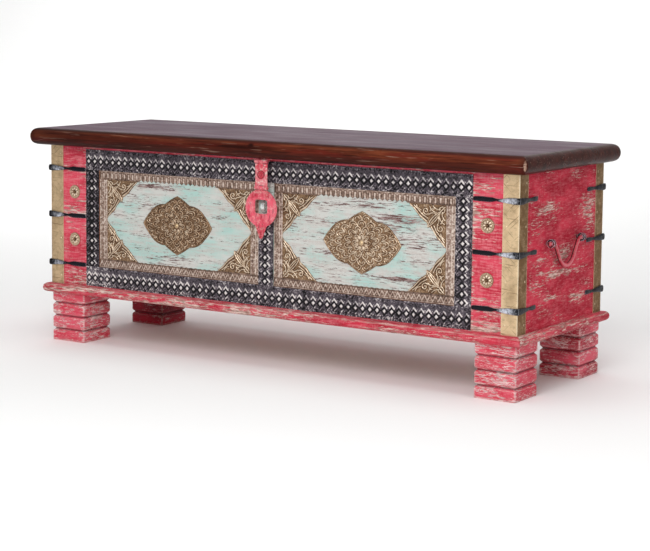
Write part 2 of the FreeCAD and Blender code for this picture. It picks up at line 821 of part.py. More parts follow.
def lid_screws(fit=0.0):
    """The screws driven up into the lid through its battens, hinge leaves and hasp bracket."""
    screws = []
    y0 = front_inside + batten_wall_gap
    y1 = back_inside - batten_wall_gap
    place = half_width * batten_place_share
    for x in (-place, place):
        for share in batten_screw_shares:
            screws.append(screw(x, y0 + (y1 - y0) * share, body_top - batten_thickness, True,
                                batten_screw_length, fit))
    for middle_x in (-hinge_place, hinge_place):
        for x, y in hinge_screw_places(middle_x):
            screws.append(screw(x, y, body_top + hinge_leaf_gap, True, hinge_screw_length, fit))
    edge = (bracket_width + hasp_strap_width) / 4
    y = front_face - bracket_wall_gap - bracket_length / 2
    for x in (-edge, edge):
        screws.append(screw(x, y, body_top - bracket_thickness, True, bracket_screw_length, fit))
    return screws


def lid_planks():
    """The lid's front, middle and rear planks, cut from one rounded board."""
    x = half_width + lid_side_overhang
    y0 = front_face - lid_front_overhang
    y1 = back_face + lid_back_overhang
    slab = bullnose_slab(-x, x, y0, y1, body_top, lid_top, lid_corner_round)
    slab = cut_all(slab, lid_recesses() + lid_screws(screw_fit))
    depth = (y1 - y0) / lid_plank_count
    return [slab.common(block(-x, x, y0 + depth * i, y0 + depth * (i + 1), body_top, lid_top))
            for i in range(lid_plank_count)]


def hinge_body_screws(fit=0.0):
    z = body_top - hinge_leaf_gap
    return [screw(x, y, z, False, hinge_screw_length, fit)
            for middle_x in (-hinge_place, hinge_place) for x, y in hinge_screw_places(middle_x)]


def main():
    os.makedirs("parts", exist_ok=True)

    nails = angle_nails()
    front_nails = nails + [mirror_x(n) for n in nails]
    all_angle_nails = front_nails + [mirror_y(n) for n in front_nails]
    boss = medallion_nail()
    save("brass_nails", all_angle_nails + [mirror_x(boss), boss])

    stile = cut_all(front_stile(), nails)
    save("front_right_stile", stile)
    save("front_left_stile", mirror_x(stile))
    save("front_top_rail", front_rail(panel_top, body_top, panel_top, panel_top + groove_depth))
    save("front_bottom_rail",
         front_rail(body_bottom, panel_bottom, panel_bottom - groove_depth, panel_bottom))
    save("front_mullion", front_mullion().cut(staple(staple_fit)))
    panel = front_panel().cut(boss)
    save("front_right_panel", panel)
    save("front_left_panel", mirror_x(panel))

    end_tools = handle_eyes(screw_fit) + nails + [mirror_y(n) for n in nails]
    end = [cut_all(board, end_tools)
           for board in stacked_boards(side_inside, half_width, front_inside, back_inside, end_joint_share)]
    save("right_end_boards", end)
    save("left_end_boards", [mirror_x(board) for board in end])

    leaf_low = body_top - hinge_leaf_gap - hinge_leaf_thickness
    leaf_high = body_top + hinge_leaf_gap + hinge_leaf_thickness
    back_tools = [mirror_y(n) for n in front_nails] + hinge_body_screws(screw_fit)
    for middle_x in (-hinge_place, hinge_place):
        half = hinge_width / 2
        back_tools.append(block(middle_x - half, middle_x + half, leaf_inside, back_face, leaf_low, body_top))
    back = stacked_boards(-half_width, half_width, back_inside, back_face, back_joint_share)
    save("back_boards", [cut_all(board, back_tools) for board in back])
    save("bottom_boards", bottom_boards())

    leg_screws = [screw(x, y, body_bottom, False, leg_screw_length) for x, y in leg_screw_places()]
    leg_holes = [screw(x, y, body_bottom, False, leg_screw_length, screw_fit) for x, y in leg_screw_places()]
    save("leg_screws", leg_screws)
    names = ("base_front_moulding", "base_back_moulding", "base_left_moulding", "base_right_moulding")
    for name, moulding in zip(names, base_frame()):
        save(name, cut_all(moulding, leg_holes))
    front_leg = cut_all(leg(), leg_holes)
    rear_leg = cut_all(mirror_y(leg()), leg_holes)
    save("front_right_leg", front_leg)
    save("front_left_leg", mirror_x(front_leg))
    save("rear_right_leg", rear_leg)
    save("rear_left_leg", mirror_x(rear_leg))

    angle = cut_all(corner_angle(), nails)
    straps = corner_straps()
    for side, across in (("right", False), ("left", True)):
        for end_name, along in (("front", False), ("rear", True)):
            pieces = [angle] + straps
            if across:
                pieces = [mirror_x(piece) for piece in pieces]
            if along:
                pieces = [mirror_y(piece) for piece in pieces]
            save(end_name + "_" + side + "_corner_angle", pieces[0])
            save(end_name + "_" + side + "_straps", pieces[1:])

    for name, strip in borders().items():
        save(name, strip)
    edging = panel_edging()
    spandrels = panel_spandrels()
    plate = medallion().cut(boss)
    for side, mirrored in (("right", False), ("left", True)):
        save(side + "_panel_edging", [mirror_x(s) for s in edging] if mirrored else edging)
        save(side + "_panel_spandrels", [mirror_x(s) for s in spandrels] if mirrored else spandrels)
        save(side + "_medallion", mirror_x(plate) if mirrored else plate)
    rosettes = stile_rosettes()
    save("stile_rosettes", rosettes + [mirror_x(r) for r in rosettes])
    save("hasp_staple", staple())

    eyes = handle_eyes()
    save("right_handle_eyes", eyes)
    save("left_handle_eyes", [mirror_x(e) for e in eyes])
    bail = handle_bail()
    save("right_handle_bail", bail)
    save("left_handle_bail", mirror_x(bail))

    body_leaves = []
    lid_leaves = []
    pins = []
    for middle_x in (-hinge_place, hinge_place):
        low = hinge_leaf(middle_x, 0, leaf_low, body_top - hinge_leaf_gap)
        high = hinge_leaf(middle_x, 1, body_top + hinge_leaf_gap, leaf_high)
        body_leaves.append(cut_all(low, hinge_body_screws(screw_fit)))
        lid_leaves.append(cut_all(high, lid_screws(screw_fit)))
        pins.append(rod(middle_x - hinge_width / 2, hinge_axis_y, hinge_axis_z, X_AXIS,
                        hinge_pin_radius, hinge_width))
    save("hinge_body_leaves", body_leaves)
    save("hinge_lid_leaves", lid_leaves)
    save("hinge_pins", pins)
    save("hinge_body_screws", hinge_body_screws())

    for name, plank in zip(("lid_front_plank", "lid_middle_plank", "lid_rear_plank"), lid_planks()):
        save(name, plank)
    save("lid_battens", [cut_all(b, lid_screws(screw_fit)) for b in lid_battens()])
    save("lid_screws", lid_screws())
    save("hasp_bracket", cut_all(hasp_bracket(), lid_screws(screw_fit)))
    save("hasp_bracket_pin", hasp_pin(hasp_pivot_z))
    save("hasp_strap", hasp_strap())
    save("hasp_rosette", hasp_rosette())
    save("hasp_leaf_pin", hasp_pin(leaf_pivot_z))
    save("hasp_leaf", hasp_leaf())


main()
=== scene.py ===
"""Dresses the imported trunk: worn paint, lacquered lid, embossed brass and black sheet, forged iron."""
import functools
import math

import bmesh
import bpy
import numpy as np
from mathutils import Euler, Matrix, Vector


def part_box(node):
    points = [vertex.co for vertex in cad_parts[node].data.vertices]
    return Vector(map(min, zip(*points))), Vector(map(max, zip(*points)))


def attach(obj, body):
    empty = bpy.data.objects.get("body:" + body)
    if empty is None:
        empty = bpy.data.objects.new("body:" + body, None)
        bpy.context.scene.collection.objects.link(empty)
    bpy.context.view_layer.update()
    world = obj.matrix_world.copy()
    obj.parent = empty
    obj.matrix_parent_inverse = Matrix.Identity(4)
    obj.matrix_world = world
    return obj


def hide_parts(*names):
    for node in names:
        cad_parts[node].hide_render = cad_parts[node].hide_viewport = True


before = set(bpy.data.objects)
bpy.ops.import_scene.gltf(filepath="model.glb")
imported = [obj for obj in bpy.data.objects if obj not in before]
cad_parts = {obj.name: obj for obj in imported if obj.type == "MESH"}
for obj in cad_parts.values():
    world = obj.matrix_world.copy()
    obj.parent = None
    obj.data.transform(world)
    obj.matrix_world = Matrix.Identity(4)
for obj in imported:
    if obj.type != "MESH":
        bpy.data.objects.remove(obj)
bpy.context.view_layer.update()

bl_info = {
    "name": "Wooden trunk",
    "version": (1, 0, 0),
    "blender": (4, 5, 0),
    "location": "View3D > Sidebar > Trunk",
    "description": "Builds the trunk's finishes, embossed metalwork and studio around its packed solids",
    "category": "Object",
}

MM = 0.001
CARCASS = "trunk_body"
# The first seed of each group of like pieces
SEEDS = {"borders": 40, "border sides": 50, "edging": 60, "spandrels": 80, "medallions": 100, "straps": 120,
         "legs": 200}


# Colours and sizes that a user would change

def linear(code):
    """An sRGB hex colour as linear RGBA."""
    parts = [int(code[i:i + 2], 16) / 255 for i in (1, 3, 5)]
    return tuple(p / 12.92 if p <= 0.04045 else ((p + 0.055) / 1.055) ** 2.4 for p in parts) + (1.0,)


def tint(label, about, code):
    return bpy.props.FloatVectorProperty(name=label, description=about, subtype="COLOR", size=4,
                                         min=0.0, max=1.0, default=linear(code))


def length(label, about, default):
    return bpy.props.FloatProperty(name=label, description=about, default=default, min=0.0,
                                   subtype="DISTANCE", unit="LENGTH")


class TrunkColours(bpy.types.PropertyGroup):
    red_deep: tint("Deep red", "Red paint where it lies thick", "#A81C30")
    red_bright: tint("Bright red", "Red paint where it is rubbed thin", "#CE3449")
    # Also the painted highlight on the outer side of the handles' bails
    red_chalk_and_highlight: tint("Chalk pink", "Fine rub marks in the red paint", "#DB7D85")
    bare_pale: tint("Pale wood", "Wood laid bare by wear", "#E2C6BC")
    bare_grey: tint("Grey wood", "Weathered wood in the worn places", "#97756A")
    # Also the thick paint of the rear left leg, which is painted darker there as painted shade
    handle_red: tint("Handle red", "Dark red paint of the drop handles", "#6A0F20")
    front_red: tint("Front red", "Red paint of the front frame where it lies thick", "#B9293D")
    front_pink: tint("Front pink", "Red paint of the front frame where it is rubbed thin", "#D8465B")
    leg_pink: tint("Leg pink", "Sun-bleached red paint on the legs", "#E0566A")
    leg_pale: tint("Leg chalk", "Pinkish bare wood on the legs", "#F0D2CF")
    leg_grey: tint("Leg grey", "Stained bare wood on the legs", "#BE9A98")
    # Darkens the legs' grooves, the iron's cracks and the hasp nail's edge, and is painted shade on the
    # back of the handles' bails
    grime_and_shade: tint("Grime", "Old dirt in the legs' grooves", "#43171B")
    mint: tint("Mint", "Panel paint where it lies thick", "#AACAC3")
    mint_pale: tint("Pale mint", "Panel paint rubbed to a chalky white", "#CACAC5")
    mint_chalk: tint("Beige primer", "Primer that shows through the panel paint", "#BEB5AF")
    scratch_dark: tint("Dark scratch", "Old stain in the panels' scratches", "#5A3A38")
    scratch_light: tint("Light scratch", "Half worn scratches", "#A08A86")
    # Also painted shade along the foot of the lid's nose and on the lid's left side
    lid_dark_and_shade: tint("Lid dark", "Dark streaks of the stained lid", "#2A0E09")
    lid_mid: tint("Lid brown", "Body colour of the stained lid", "#532116")
    lid_top: tint("Lid top", "Body colour of the lid's dulled top", "#472420")
    lid_bloom: tint("Lid bloom", "Plum bloom that old lacquer shows at a low angle", "#B89CC0")
    lid_red: tint("Lid red", "Red patches of the stain along the lid's nose", "#5E1E16")
    # Also painted highlights on the lid's front corners; on the nose its pale scratches stand in for glints
    # too
    lid_worn_and_highlight: tint("Lid worn", "Bare wood in the lid's scratches and on its corners", "#B08F7C")
    # Also a painted highlight along the upper front of the lid's nose
    lid_figure_and_highlight: tint("Lid glow", "Orange figure in the stained lid", "#7C3F27")
    brass: tint("Brass", "Rubbed sheet brass", "#E4C8A0")
    # The bright arris is partly rubbed brass and partly a painted highlight
    brass_edge: tint("Brass edge", "Sheet brass rubbed bright along its arris", "#F6E6C8")
    # Also painted shade on the brass angles' legs that turn to the ends
    brass_tarnish_and_shade: tint("Brass tarnish", "Olive tarnish on sheet brass", "#7E5F3C")
    brass_stain: tint("Brass stain", "Dark specks in the sheet brass", "#5E452B")
    antique_high: tint("Antique brass, raised", "Rubbed tops of the embossing", "#E2CFB8")
    antique_mid: tint("Antique brass, flats", "Half rubbed flats of the embossing", "#98795B")
    antique_low: tint("Antique brass, sunk", "Brown patina in the embossing", "#543B2A")
    pale_high: tint("Pale brass, raised", "Rubbed tops of the panel edging", "#DCCBBF")
    pale_mid: tint("Pale brass, flats", "Whitened flats of the panel edging", "#957A6B")
    pale_low: tint("Pale brass, sunk", "Dirt in the panel edging", "#4E3A30")
    black: tint("Black", "Blackening in the border strips", "#100E11")
    black_mid: tint("Grey tin", "Half rubbed flats of the border strips", "#645B63")
    rubbed: tint("Rubbed tin", "Bright metal rubbed out of the black", "#DFD7D4")
    iron: tint("Iron", "Forged iron under its scale", "#232329")
    # Also the painted highlight on the front straps' bends
    iron_bright_and_highlight: tint("Bright iron", "Iron rubbed at the edges", "#EEF2FF")
    sawn_wood: tint("Sawn wood", "Unpainted boards inside", "#B08C63")
    sawn_dark: tint("Sawn wood grain", "Grain of the unpainted boards", "#7E5C3A")
    steel: tint("Steel", "Screws", "#A9A7A2")
    zinc: tint("Zinc", "Plating of the hasp's staple", "#F0F4F2")
    floor: tint("Floor", "Studio floor and backdrop", "#FAFAFA")


class TrunkSizes(bpy.types.PropertyGroup):
    border_pitch: length("Border pitch", "Distance between the diamonds of the black strips", 0.016)
    border_rise: length("Border relief", "Height of the black strips' embossing", 0.0015)
    edging_rise: length("Edging relief", "Height of the brass edging's embossing", 0.001)
    spandrel_rise: length("Spandrel relief", "Height of the corner ornaments' embossing", 0.0015)
    medallion_rise: length("Medallion relief", "Height of the medallions' embossing", 0.0013)
    sheet: length("Sheet", "Thickness of the embossed sheet under its relief", 0.0005)


class TrunkStudio(bpy.types.PropertyGroup):
    camera_place: bpy.props.FloatVectorProperty(
        name="Camera place", description="Where the camera stands", subtype="TRANSLATION", unit="LENGTH",
        default=(2.0592, -3.1101, 0.7124))
    camera_turn: bpy.props.FloatVectorProperty(
        name="Camera turn", description="The camera's rotation", subtype="EULER", unit="ROTATION",
        default=tuple(math.radians(a) for a in (83.6600, -0.5448, 33.1990)))
    camera_shift: bpy.props.FloatVectorProperty(
        name="Camera shift", description="Lens shift that keeps the uprights nearly parallel", size=2,
        default=(0.0, -0.1))
    lens: bpy.props.FloatProperty(
        name="Lens", description="Focal length on a 36 mm sensor", default=102.93, min=1.0, unit="CAMERA")
    key_power: bpy.props.FloatProperty(
        name="Key light", description="Power of the large light in front", default=52.0, subtype="POWER")
    fill_power: bpy.props.FloatProperty(
        name="Fill light", description="Power of the light at the right", default=7.0, subtype="POWER")
    top_power: bpy.props.FloatProperty(
        name="Top light", description="Power of the light overhead", default=50.0, subtype="POWER")
    wall_power: bpy.props.FloatProperty(
        name="Wall light", description="Power of the light that washes the backdrop", default=105.0,
        subtype="POWER")
    world_strength: bpy.props.FloatProperty(
        name="Surround", description="Strength of the white surround", default=0.42, min=0.0)


def colours():
    return bpy.context.scene.trunk_colours


def sizes():
    return bpy.context.scene.trunk_sizes


# Materials

def add(tree, kind, links=None, out=0, **settings):
    """Adds a node with its settings, fills its inputs from values or sockets, and gives an output."""
    made = tree.nodes.new("ShaderNode" + kind)
    for name, value in settings.items():
        setattr(made, name, value)
    for name, value in (links or {}).items():
        if isinstance(value, bpy.types.NodeSocket):
            tree.links.new(value, made.inputs[name])
        else:
            made.inputs[name].default_value = value
    return made.outputs[out]


def new_material(name):
    material = bpy.data.materials.new(name)
    material.use_nodes = True
    material.node_tree.nodes.clear()
    return material, material.node_tree


def finish_material(material, links):
    """Gives a material its surface, and gives it back."""
    tree = material.node_tree
    shader = add(tree, "BsdfPrincipled", links)
    output = tree.nodes.new("ShaderNodeOutputMaterial")
    tree.links.new(shader, output.inputs["Surface"])
    return material


def combine(tree, operation, *values, **settings):
    """A math node over one, two or three values."""
    return add(tree, "Math", dict(enumerate(values)), operation=operation, **settings)


def merge(tree, operation, values):
    """Any number of values as one, such as their sum or the largest."""
    return functools.reduce(lambda one, two: combine(tree, operation, one, two), values)


def ramp(tree, value, low, high, most=1.0, least=0.0):
    """Least where a value is at low, and most where it is at high."""
    return add(tree, "MapRange", {"Value": value, "From Min": low, "From Max": high, "To Min": least,
                                  "To Max": most})


def between(tree, share, first, last):
    """One number where a share is 0, and another where it is 1."""
    return ramp(tree, share, 0.0, 1.0, last, first)


def mixed(tree, share, base, over):
    """One colour over another by a share."""
    return add(tree, "Mix", {0: share, 6: base, 7: over}, out=2, data_type="RGBA")


def laid(tree, base, over, value, low, high, most=1.0):
    """Lays one colour over another: not at all where a value is at low, and most where it is at high."""
    return mixed(tree, ramp(tree, value, low, high, most), base, over)


def bumps(tree, height, strength, depth_mm, **settings):
    """The normal of a surface that stands out by a height."""
    links = {"Height": height, "Strength": strength, "Distance": depth_mm * MM}
    return add(tree, "Bump", links, **settings)


def rub_and_light_of(tree):
    """How far a mesh says that each of its points is rubbed. On the lid's nose it places a painted
    highlight, on the handles' bails a painted highlight and painted shade, and on the embossed ornaments
    painted shade beside their raised lines.
    """
    return add(tree, "Attribute", out="Fac", attribute_name="rub")


def placed(tree, axis):
    """The place along one of the object's axes, in metres."""
    return add(tree, "SeparateXYZ", {0: add(tree, "TexCoord", out="Object")}, out=axis)


def blots(tree, size_mm, detail=2.0, roughness=0.5, shift=0.0, warp=0.0):
    """Noise whose blots measure size_mm along X, Y and Z."""
    place = add(tree, "TexCoord", out="Object")
    scaled = add(tree, "Mapping", {"Vector": place, "Location": (shift, shift * 0.7, shift * 1.3),
                                   "Scale": tuple(1 / (s * MM) for s in size_mm)})
    return add(tree, "TexNoise", {"Vector": scaled, "Scale": 1.0, "Detail": detail, "Roughness": roughness,
                                  "Distortion": warp})


def spots(tree, places):
    """A sum of soft ovals: each place is a centre and its half sizes in millimetres, and a weight."""
    ovals = []
    for centre, half, weight in places:
        place = add(tree, "TexCoord", out="Object")
        scaled = add(tree, "Mapping", {"Vector": place, "Location": tuple(c * MM for c in centre),
                                       "Scale": tuple(h * MM for h in half)}, vector_type="TEXTURE")
        ball = add(tree, "TexGradient", {"Vector": scaled}, out="Fac", gradient_type="SPHERICAL")
        ovals.append(combine(tree, "MULTIPLY", ball, weight))
    return merge(tree, "ADD", ovals)


def edge_wear(tree, radius_mm, low, high):
    """1 along the solid's edges and 0 on its flats, from how far a rounded normal turns."""
    rounded = add(tree, "Bevel", {"Radius": radius_mm * MM}, samples=4)
    flat = add(tree, "NewGeometry", out="Normal")
    turn = add(tree, "VectorMath", {0: rounded, 1: flat}, out="Value", operation="DOT_PRODUCT")
    return ramp(tree, turn, 1 - low, 1 - high)


def grain(axis, along, across):
    """Blot sizes that run with the grain along x, along y, or level all round a post."""
    sizes_mm = {"x": (along, across, across), "y": (across, along, across), "level": (along, along, across)}
    return sizes_mm[axis]


def worn_paint(name, tints, axis, seed, bare, chalk=0.6, fine_mm=(24, 3.4), fleck_mm=(17, 3.0),
               streak_mm=(70, 5.0), patch_mm=(120, 50), edges=0.0, handled=False, places=(), inside=None,
               roughness=0.6, crisp=0.06, broken=0.8, shine=0.2):
    """Chalky milk paint rubbed back to the wood: flecks lie with the grain and gather in patches.

    tints are the thick paint, the thin paint, its fine rub marks, and two woods. bare is the level
    above which the wood shows, so that a lower one means more wear, and crisp how far its edge fades.
    The flecks of a real rubbed coat are about a millimetre high, and are drawn three times as high so
    that they show; broken is how far they break up the patches. A handled piece holds its wear in its
    mesh, and is darker in its grooves. inside is an axis and two places along it in millimetres: the wood
    past the second was never painted.
    """
    c = colours()
    material, tree = new_material(name)
    thick, thin, rub, wood, wood_dark = tints
    broad = blots(tree, grain(axis, 90, 36), 3.0, 0.6, seed)
    colour = laid(tree, thick, thin, broad, 0.4, 0.6)
    fine = blots(tree, grain(axis, *fine_mm), 4.0, 0.72, seed + 7)
    weave = blots(tree, (2.6, 2.6, 13.0), 3.0, 0.65, seed + 11)
    marks = add(tree, "Mix", {0: 0.25, 2: fine, 3: weave}, data_type="FLOAT")
    colour = laid(tree, colour, rub, marks, 0.46, 0.62, chalk)
    streak = blots(tree, grain(axis, *streak_mm), 5.0, 0.68, seed + 13)
    patch = blots(tree, grain(axis, *patch_mm), 3.0, 0.55, seed + 21)
    cluster = add(tree, "Mix", {0: 0.5, 2: streak, 3: patch}, data_type="FLOAT")
    if places:
        cluster = combine(tree, "ADD", cluster, spots(tree, places))
    fleck = blots(tree, grain(axis, *fleck_mm), 5.0, 0.78, seed + 29)
    lay = combine(tree, "MULTIPLY_ADD", fleck, broken, cluster)
    worn = ramp(tree, lay, bare, bare + crisp)
    handling = rub_and_light_of(tree) if handled else None
    if edges:
        rim = handling if handled else edge_wear(tree, 3.0, 0.03, 0.3)
        rim = combine(tree, "MULTIPLY", rim, fleck)
        rim = ramp(tree, rim, 0.3, 0.5, edges)
        worn = combine(tree, "MAXIMUM", worn, rim)
    lines = blots(tree, grain(axis, 22, 3.2), 4.0, 0.7, seed + 37)
    under = laid(tree, wood, wood_dark, lines, 0.44, 0.58)
    colour = mixed(tree, worn, colour, under)
    if handled:
        colour = laid(tree, colour, c.grime_and_shade, handling, -0.2, -0.8, 0.75)
    if inside:
        way, start, stop = inside
        depth = placed(tree, way)
        board = laid(tree, c.sawn_wood, c.sawn_dark, lines, 0.44, 0.58)
        colour = laid(tree, colour, board, depth, start * MM, stop * MM)
    rough = between(tree, worn, roughness, 0.78)
    relief = combine(tree, "MULTIPLY", fine, 0.3)
    relief = combine(tree, "SUBTRACT", relief, worn)
    bump = bumps(tree, relief, 0.5, 0.5)
    return finish_material(material, {"Base Color": colour, "Roughness": rough, "Normal": bump,
                                      "Specular IOR Level": shine})


def red_paint(name, axis, seed, bare, paints=("red_deep", "red_bright"), woods=("bare_pale", "bare_grey"),
              rub="red_chalk_and_highlight", **more):
    tints = [getattr(colours(), tint_name) for tint_name in (*paints, rub, *woods)]
    return worn_paint(name, tints, axis, seed, bare, **more)


def mint_paint(name, seed, bare, places):
    c = colours()
    tints = (c.mint_pale, c.mint, c.mint_chalk, c.scratch_dark, c.scratch_light)
    return worn_paint(name, tints, "x", seed, bare, chalk=0.8, fine_mm=(60, 5.0), fleck_mm=(20, 2.3),
                      streak_mm=(60, 3.4), patch_mm=(120, 26), places=places, roughness=0.55, crisp=0.04,
                      broken=1.5)


# Where the lid's nose darkens at its caps and crown, where painted shade darkens its foot, and where its
# pale scratches also stand in for glints as painted highlight, in metres along X from the middle and up Z
LID_CAPS = (0.562, 0.574)
NOSE_FOOT_SHADE = (0.43, 0.419)
NOSE_CROWN = (0.4435, 0.4465)
NOSE_SCRATCHES_AND_GLINTS = (0.42, 0.424)
# Painted shade on the lid's left side, painted highlights on the two front corners, and a nick over the
# hasp
LID_LEFT_SHADE = (((-580, 0, 440), (760, 500, 300), 0.7),)
LID_CORNER_HIGHLIGHTS = tuple(((way * 577, -199, 432), (4.5, 6, 14), 1.5) for way in (-1, 1))
LID_NICK = (((-13, -201, 441), (9, 14, 6), 1.6),)


def lacquered_lid(name, seed, top):
    """Stained sheesham under lacquer: dark streaks, orange figure, and a painted highlight along the nose's
    upper front.

    The flat top has dulled to the plum bloom of old lacquer; hands keep the nose polished. Painted shade
    darkens the nose's foot and the lid's left side, painted highlights lie on the front corners, and the
    nose's pale scratches stand in for glints too.
    """
    c = colours()
    material, tree = new_material(name)
    figure = blots(tree, (420, 11, 11), 4.0, 0.6, seed, 0.4)
    brown = laid(tree, c.lid_dark_and_shade, c.lid_top if top else c.lid_mid, figure, 0.38, 0.6)
    if not top:
        # Painted highlight: the orange figure is pulled along the nose's upper front by the rub its mesh
        # holds
        glow = blots(tree, (200, 14, 14), 4.0, 0.6, seed + 5)
        rub = rub_and_light_of(tree)
        glow = combine(tree, "MULTIPLY_ADD", rub, 0.3, glow)
        brown = laid(tree, brown, c.lid_figure_and_highlight, glow, 0.56, 0.84, 0.9)
        patch = blots(tree, (130, 12, 12), 3.0, 0.6, seed + 31)
        brown = laid(tree, brown, c.lid_red, patch, 0.5, 0.62, 0.75)
        # Painted shade darkens the nose's foot and the lid's left side; the caps and the crown just below
        # the top are darker too
        across, up = combine(tree, "ABSOLUTE", placed(tree, "X")), placed(tree, "Z")
        shades = ((across, LID_CAPS, 0.6), (up, NOSE_FOOT_SHADE, 0.5), (up, NOSE_CROWN, 0.7))
        dark = merge(tree, "MAXIMUM", [ramp(tree, value, *span, most) for value, span, most in shades])
        for share in (dark, spots(tree, LID_LEFT_SHADE)):
            brown = mixed(tree, share, brown, c.lid_dark_and_shade)
    pores = blots(tree, (90, 2.6, 2.6), 3.0, 0.65, seed + 11)
    pores = ramp(tree, pores, 0.54, 0.66, 0.7)
    scratch = blots(tree, (30 if top else 70, 2.6, 2.6), 2.0, 0.6, seed + 23)
    start = 0.66 if top else 0.64
    scratch = ramp(tree, scratch, start, start + 0.08, 0.45)
    # On the nose the pale scratches gather along its middle, where they also stand in for glints as painted
    # highlight
    if not top:
        scratch = combine(tree, "MULTIPLY", scratch, ramp(tree, up, *NOSE_SCRATCHES_AND_GLINTS))
    brown = mixed(tree, scratch, brown, c.lid_worn_and_highlight)
    # Painted highlights on the lid's two front corners, broken up by noise
    if not top:
        chipped = blots(tree, (5, 5, 4), 3.0, 0.7, seed + 41)
        corner = combine(tree, "MULTIPLY", spots(tree, LID_CORNER_HIGHLIGHTS), chipped)
        brown = laid(tree, brown, c.lid_worn_and_highlight, corner, 0.2, 0.5, 0.9)
    sunk = combine(tree, "MAXIMUM", pores, spots(tree, LID_NICK), use_clamp=True)
    colour = mixed(tree, sunk, brown, c.lid_dark_and_shade)
    cloud = blots(tree, (160, 40, 40), 3.0, 0.55, seed + 17)
    smooth = 0.34 if top else 0.24
    rough = ramp(tree, cloud, 0.3, 0.7, smooth + 0.16, smooth)
    bump = bumps(tree, pores, 0.25, 0.3, invert=True)
    return finish_material(material, {"Base Color": colour, "Roughness": rough, "Normal": bump,
                                      "Specular IOR Level": 0.03 if top else 0.07,
                                      "Sheen Weight": 0.28 if top else 0.0, "Sheen Roughness": 0.4,
                                      "Sheen Tint": c.lid_bloom})


# How far from the trunk's middle a brass angle turns to the end, in metres
BRASS_BEND = (0.5502, 0.5509)


def sheet_brass(name):
    """Sheet brass rubbed by hand: crossing scratches, a bright arris rubbed and painted as a highlight, and
    olive tarnish.

    The legs that turn to the ends are darkened all over as painted shade, and the left angles are darker
    than the right.
    """
    c = colours()
    material, tree = new_material(name)
    cloud = blots(tree, (24, 24, 30), 4.0, 0.62, 3.0)
    cloud = ramp(tree, cloud, 0.42, 0.7, 0.45)
    across = placed(tree, "X")
    cloud = combine(tree, "ADD", cloud, ramp(tree, across, 0.0, -0.5, 0.2))
    # Painted shade: the legs that turn to the ends are darkened all over
    end_leg_shade = ramp(tree, combine(tree, "ABSOLUTE", across), *BRASS_BEND)
    tarnish = combine(tree, "MULTIPLY_ADD", end_leg_shade, 0.86, cloud, use_clamp=True)
    colour = mixed(tree, tarnish, c.brass, c.brass_tarnish_and_shade)
    speck = blots(tree, (9, 9, 6), 4.0, 0.7, 8.0)
    colour = laid(tree, colour, c.brass, speck, 0.52, 0.66, 0.25)
    colour = laid(tree, colour, c.brass_stain, speck, 0.46, 0.34, 0.25)
    place, cuts = add(tree, "TexCoord", out="Object"), []
    for lean in (0.75, -0.75, 0.06):
        turned = add(tree, "Mapping", {"Vector": place, "Rotation": (0.0, lean, 0.0),
                                       "Scale": (50 * MM, 50 * MM, 2.6 * MM)}, vector_type="TEXTURE")
        cut = add(tree, "TexNoise", {"Vector": turned, "Scale": 1.0, "Detail": 2.0})
        cuts.append(ramp(tree, cut, 0.64, 0.72, 0.7))
    lines = merge(tree, "MAXIMUM", cuts)
    colour = mixed(tree, lines, colour, c.brass_tarnish_and_shade)
    # The arris is lightened as rubbed brass and as a painted highlight
    colour = laid(tree, colour, c.brass_edge, edge_wear(tree, 2.2, 0.02, 0.2), 0.0, 1.0, 0.8)
    rough = between(tree, tarnish, 0.42, 0.6)
    bump = bumps(tree, lines, 0.3, 0.2, invert=True)
    return finish_material(material, {"Base Color": colour, "Roughness": rough, "Metallic": 0.8,
                                      "Normal": bump})


# Embossed sheets: the colours of the hollows, the flats and the raised lines, the rub at which each is
# full, the raised lines' roughness, how metallic and how mottled the sheet is, and its specular level
ANTIQUE_BRASS = "Embossed brass, antiqued"
PALE_BRASS = "Embossed brass, whitened"
BLACK_TIN = "Embossed tin, blackened and rubbed"
EMBOSSED = {
    ANTIQUE_BRASS: (("antique_low", "antique_mid", "antique_high"), (0.0, 0.4, 0.85), 0.36, 0.7, 0.2, 0.5),
    PALE_BRASS: (("pale_low", "pale_mid", "pale_high"), (0.0, 0.42, 0.85), 0.42, 0.4, 0.2, 0.5),
    BLACK_TIN: (("black", "black_mid", "rubbed"), (0.1, 0.46, 0.8), 0.42, 0.3, 0.16, 0.25),
}


def embossed_metal(name):
    """Stamped sheet: a dark patina stays in the hollows, and handling rubs the raised lines bright."""
    material, tree = new_material(name)
    tint_names, levels, roughness, metallic, mottle, shine = EMBOSSED[name]
    low, flat, high = (getattr(colours(), tint_name) for tint_name in tint_names)
    rub = rub_and_light_of(tree)
    cloud = blots(tree, (9, 9, 9), 4.0, 0.65, 5.0)
    cloud = ramp(tree, cloud, 0.3, 0.7, mottle / 2, -mottle / 2)
    bright = combine(tree, "ADD", rub, cloud)
    colour = laid(tree, low, flat, bright, levels[0], levels[1])
    raised = ramp(tree, bright, levels[1], levels[2])
    colour = mixed(tree, raised, colour, high)
    rough = between(tree, raised, roughness + 0.15, roughness)
    grit = blots(tree, (2.4, 2.4, 2.4), 2.0, 0.6, 9.0)
    bump = bumps(tree, grit, 0.3, 0.2)
    return finish_material(material, {"Base Color": colour, "Roughness": rough, "Metallic": metallic,
                                      "Normal": bump, "Specular IOR Level": shine})


FORGED_IRON = "Forged iron, blackened"
# Painted highlights on the front straps' bends over the brass, the right ones brighter
STRAP_BEND_HIGHLIGHTS = tuple(((x, -169, z), (34, 4, 14), weight) for x, weight in ((-530, 1.15), (530, 1.6))
                    for z in (167, 268, 366))


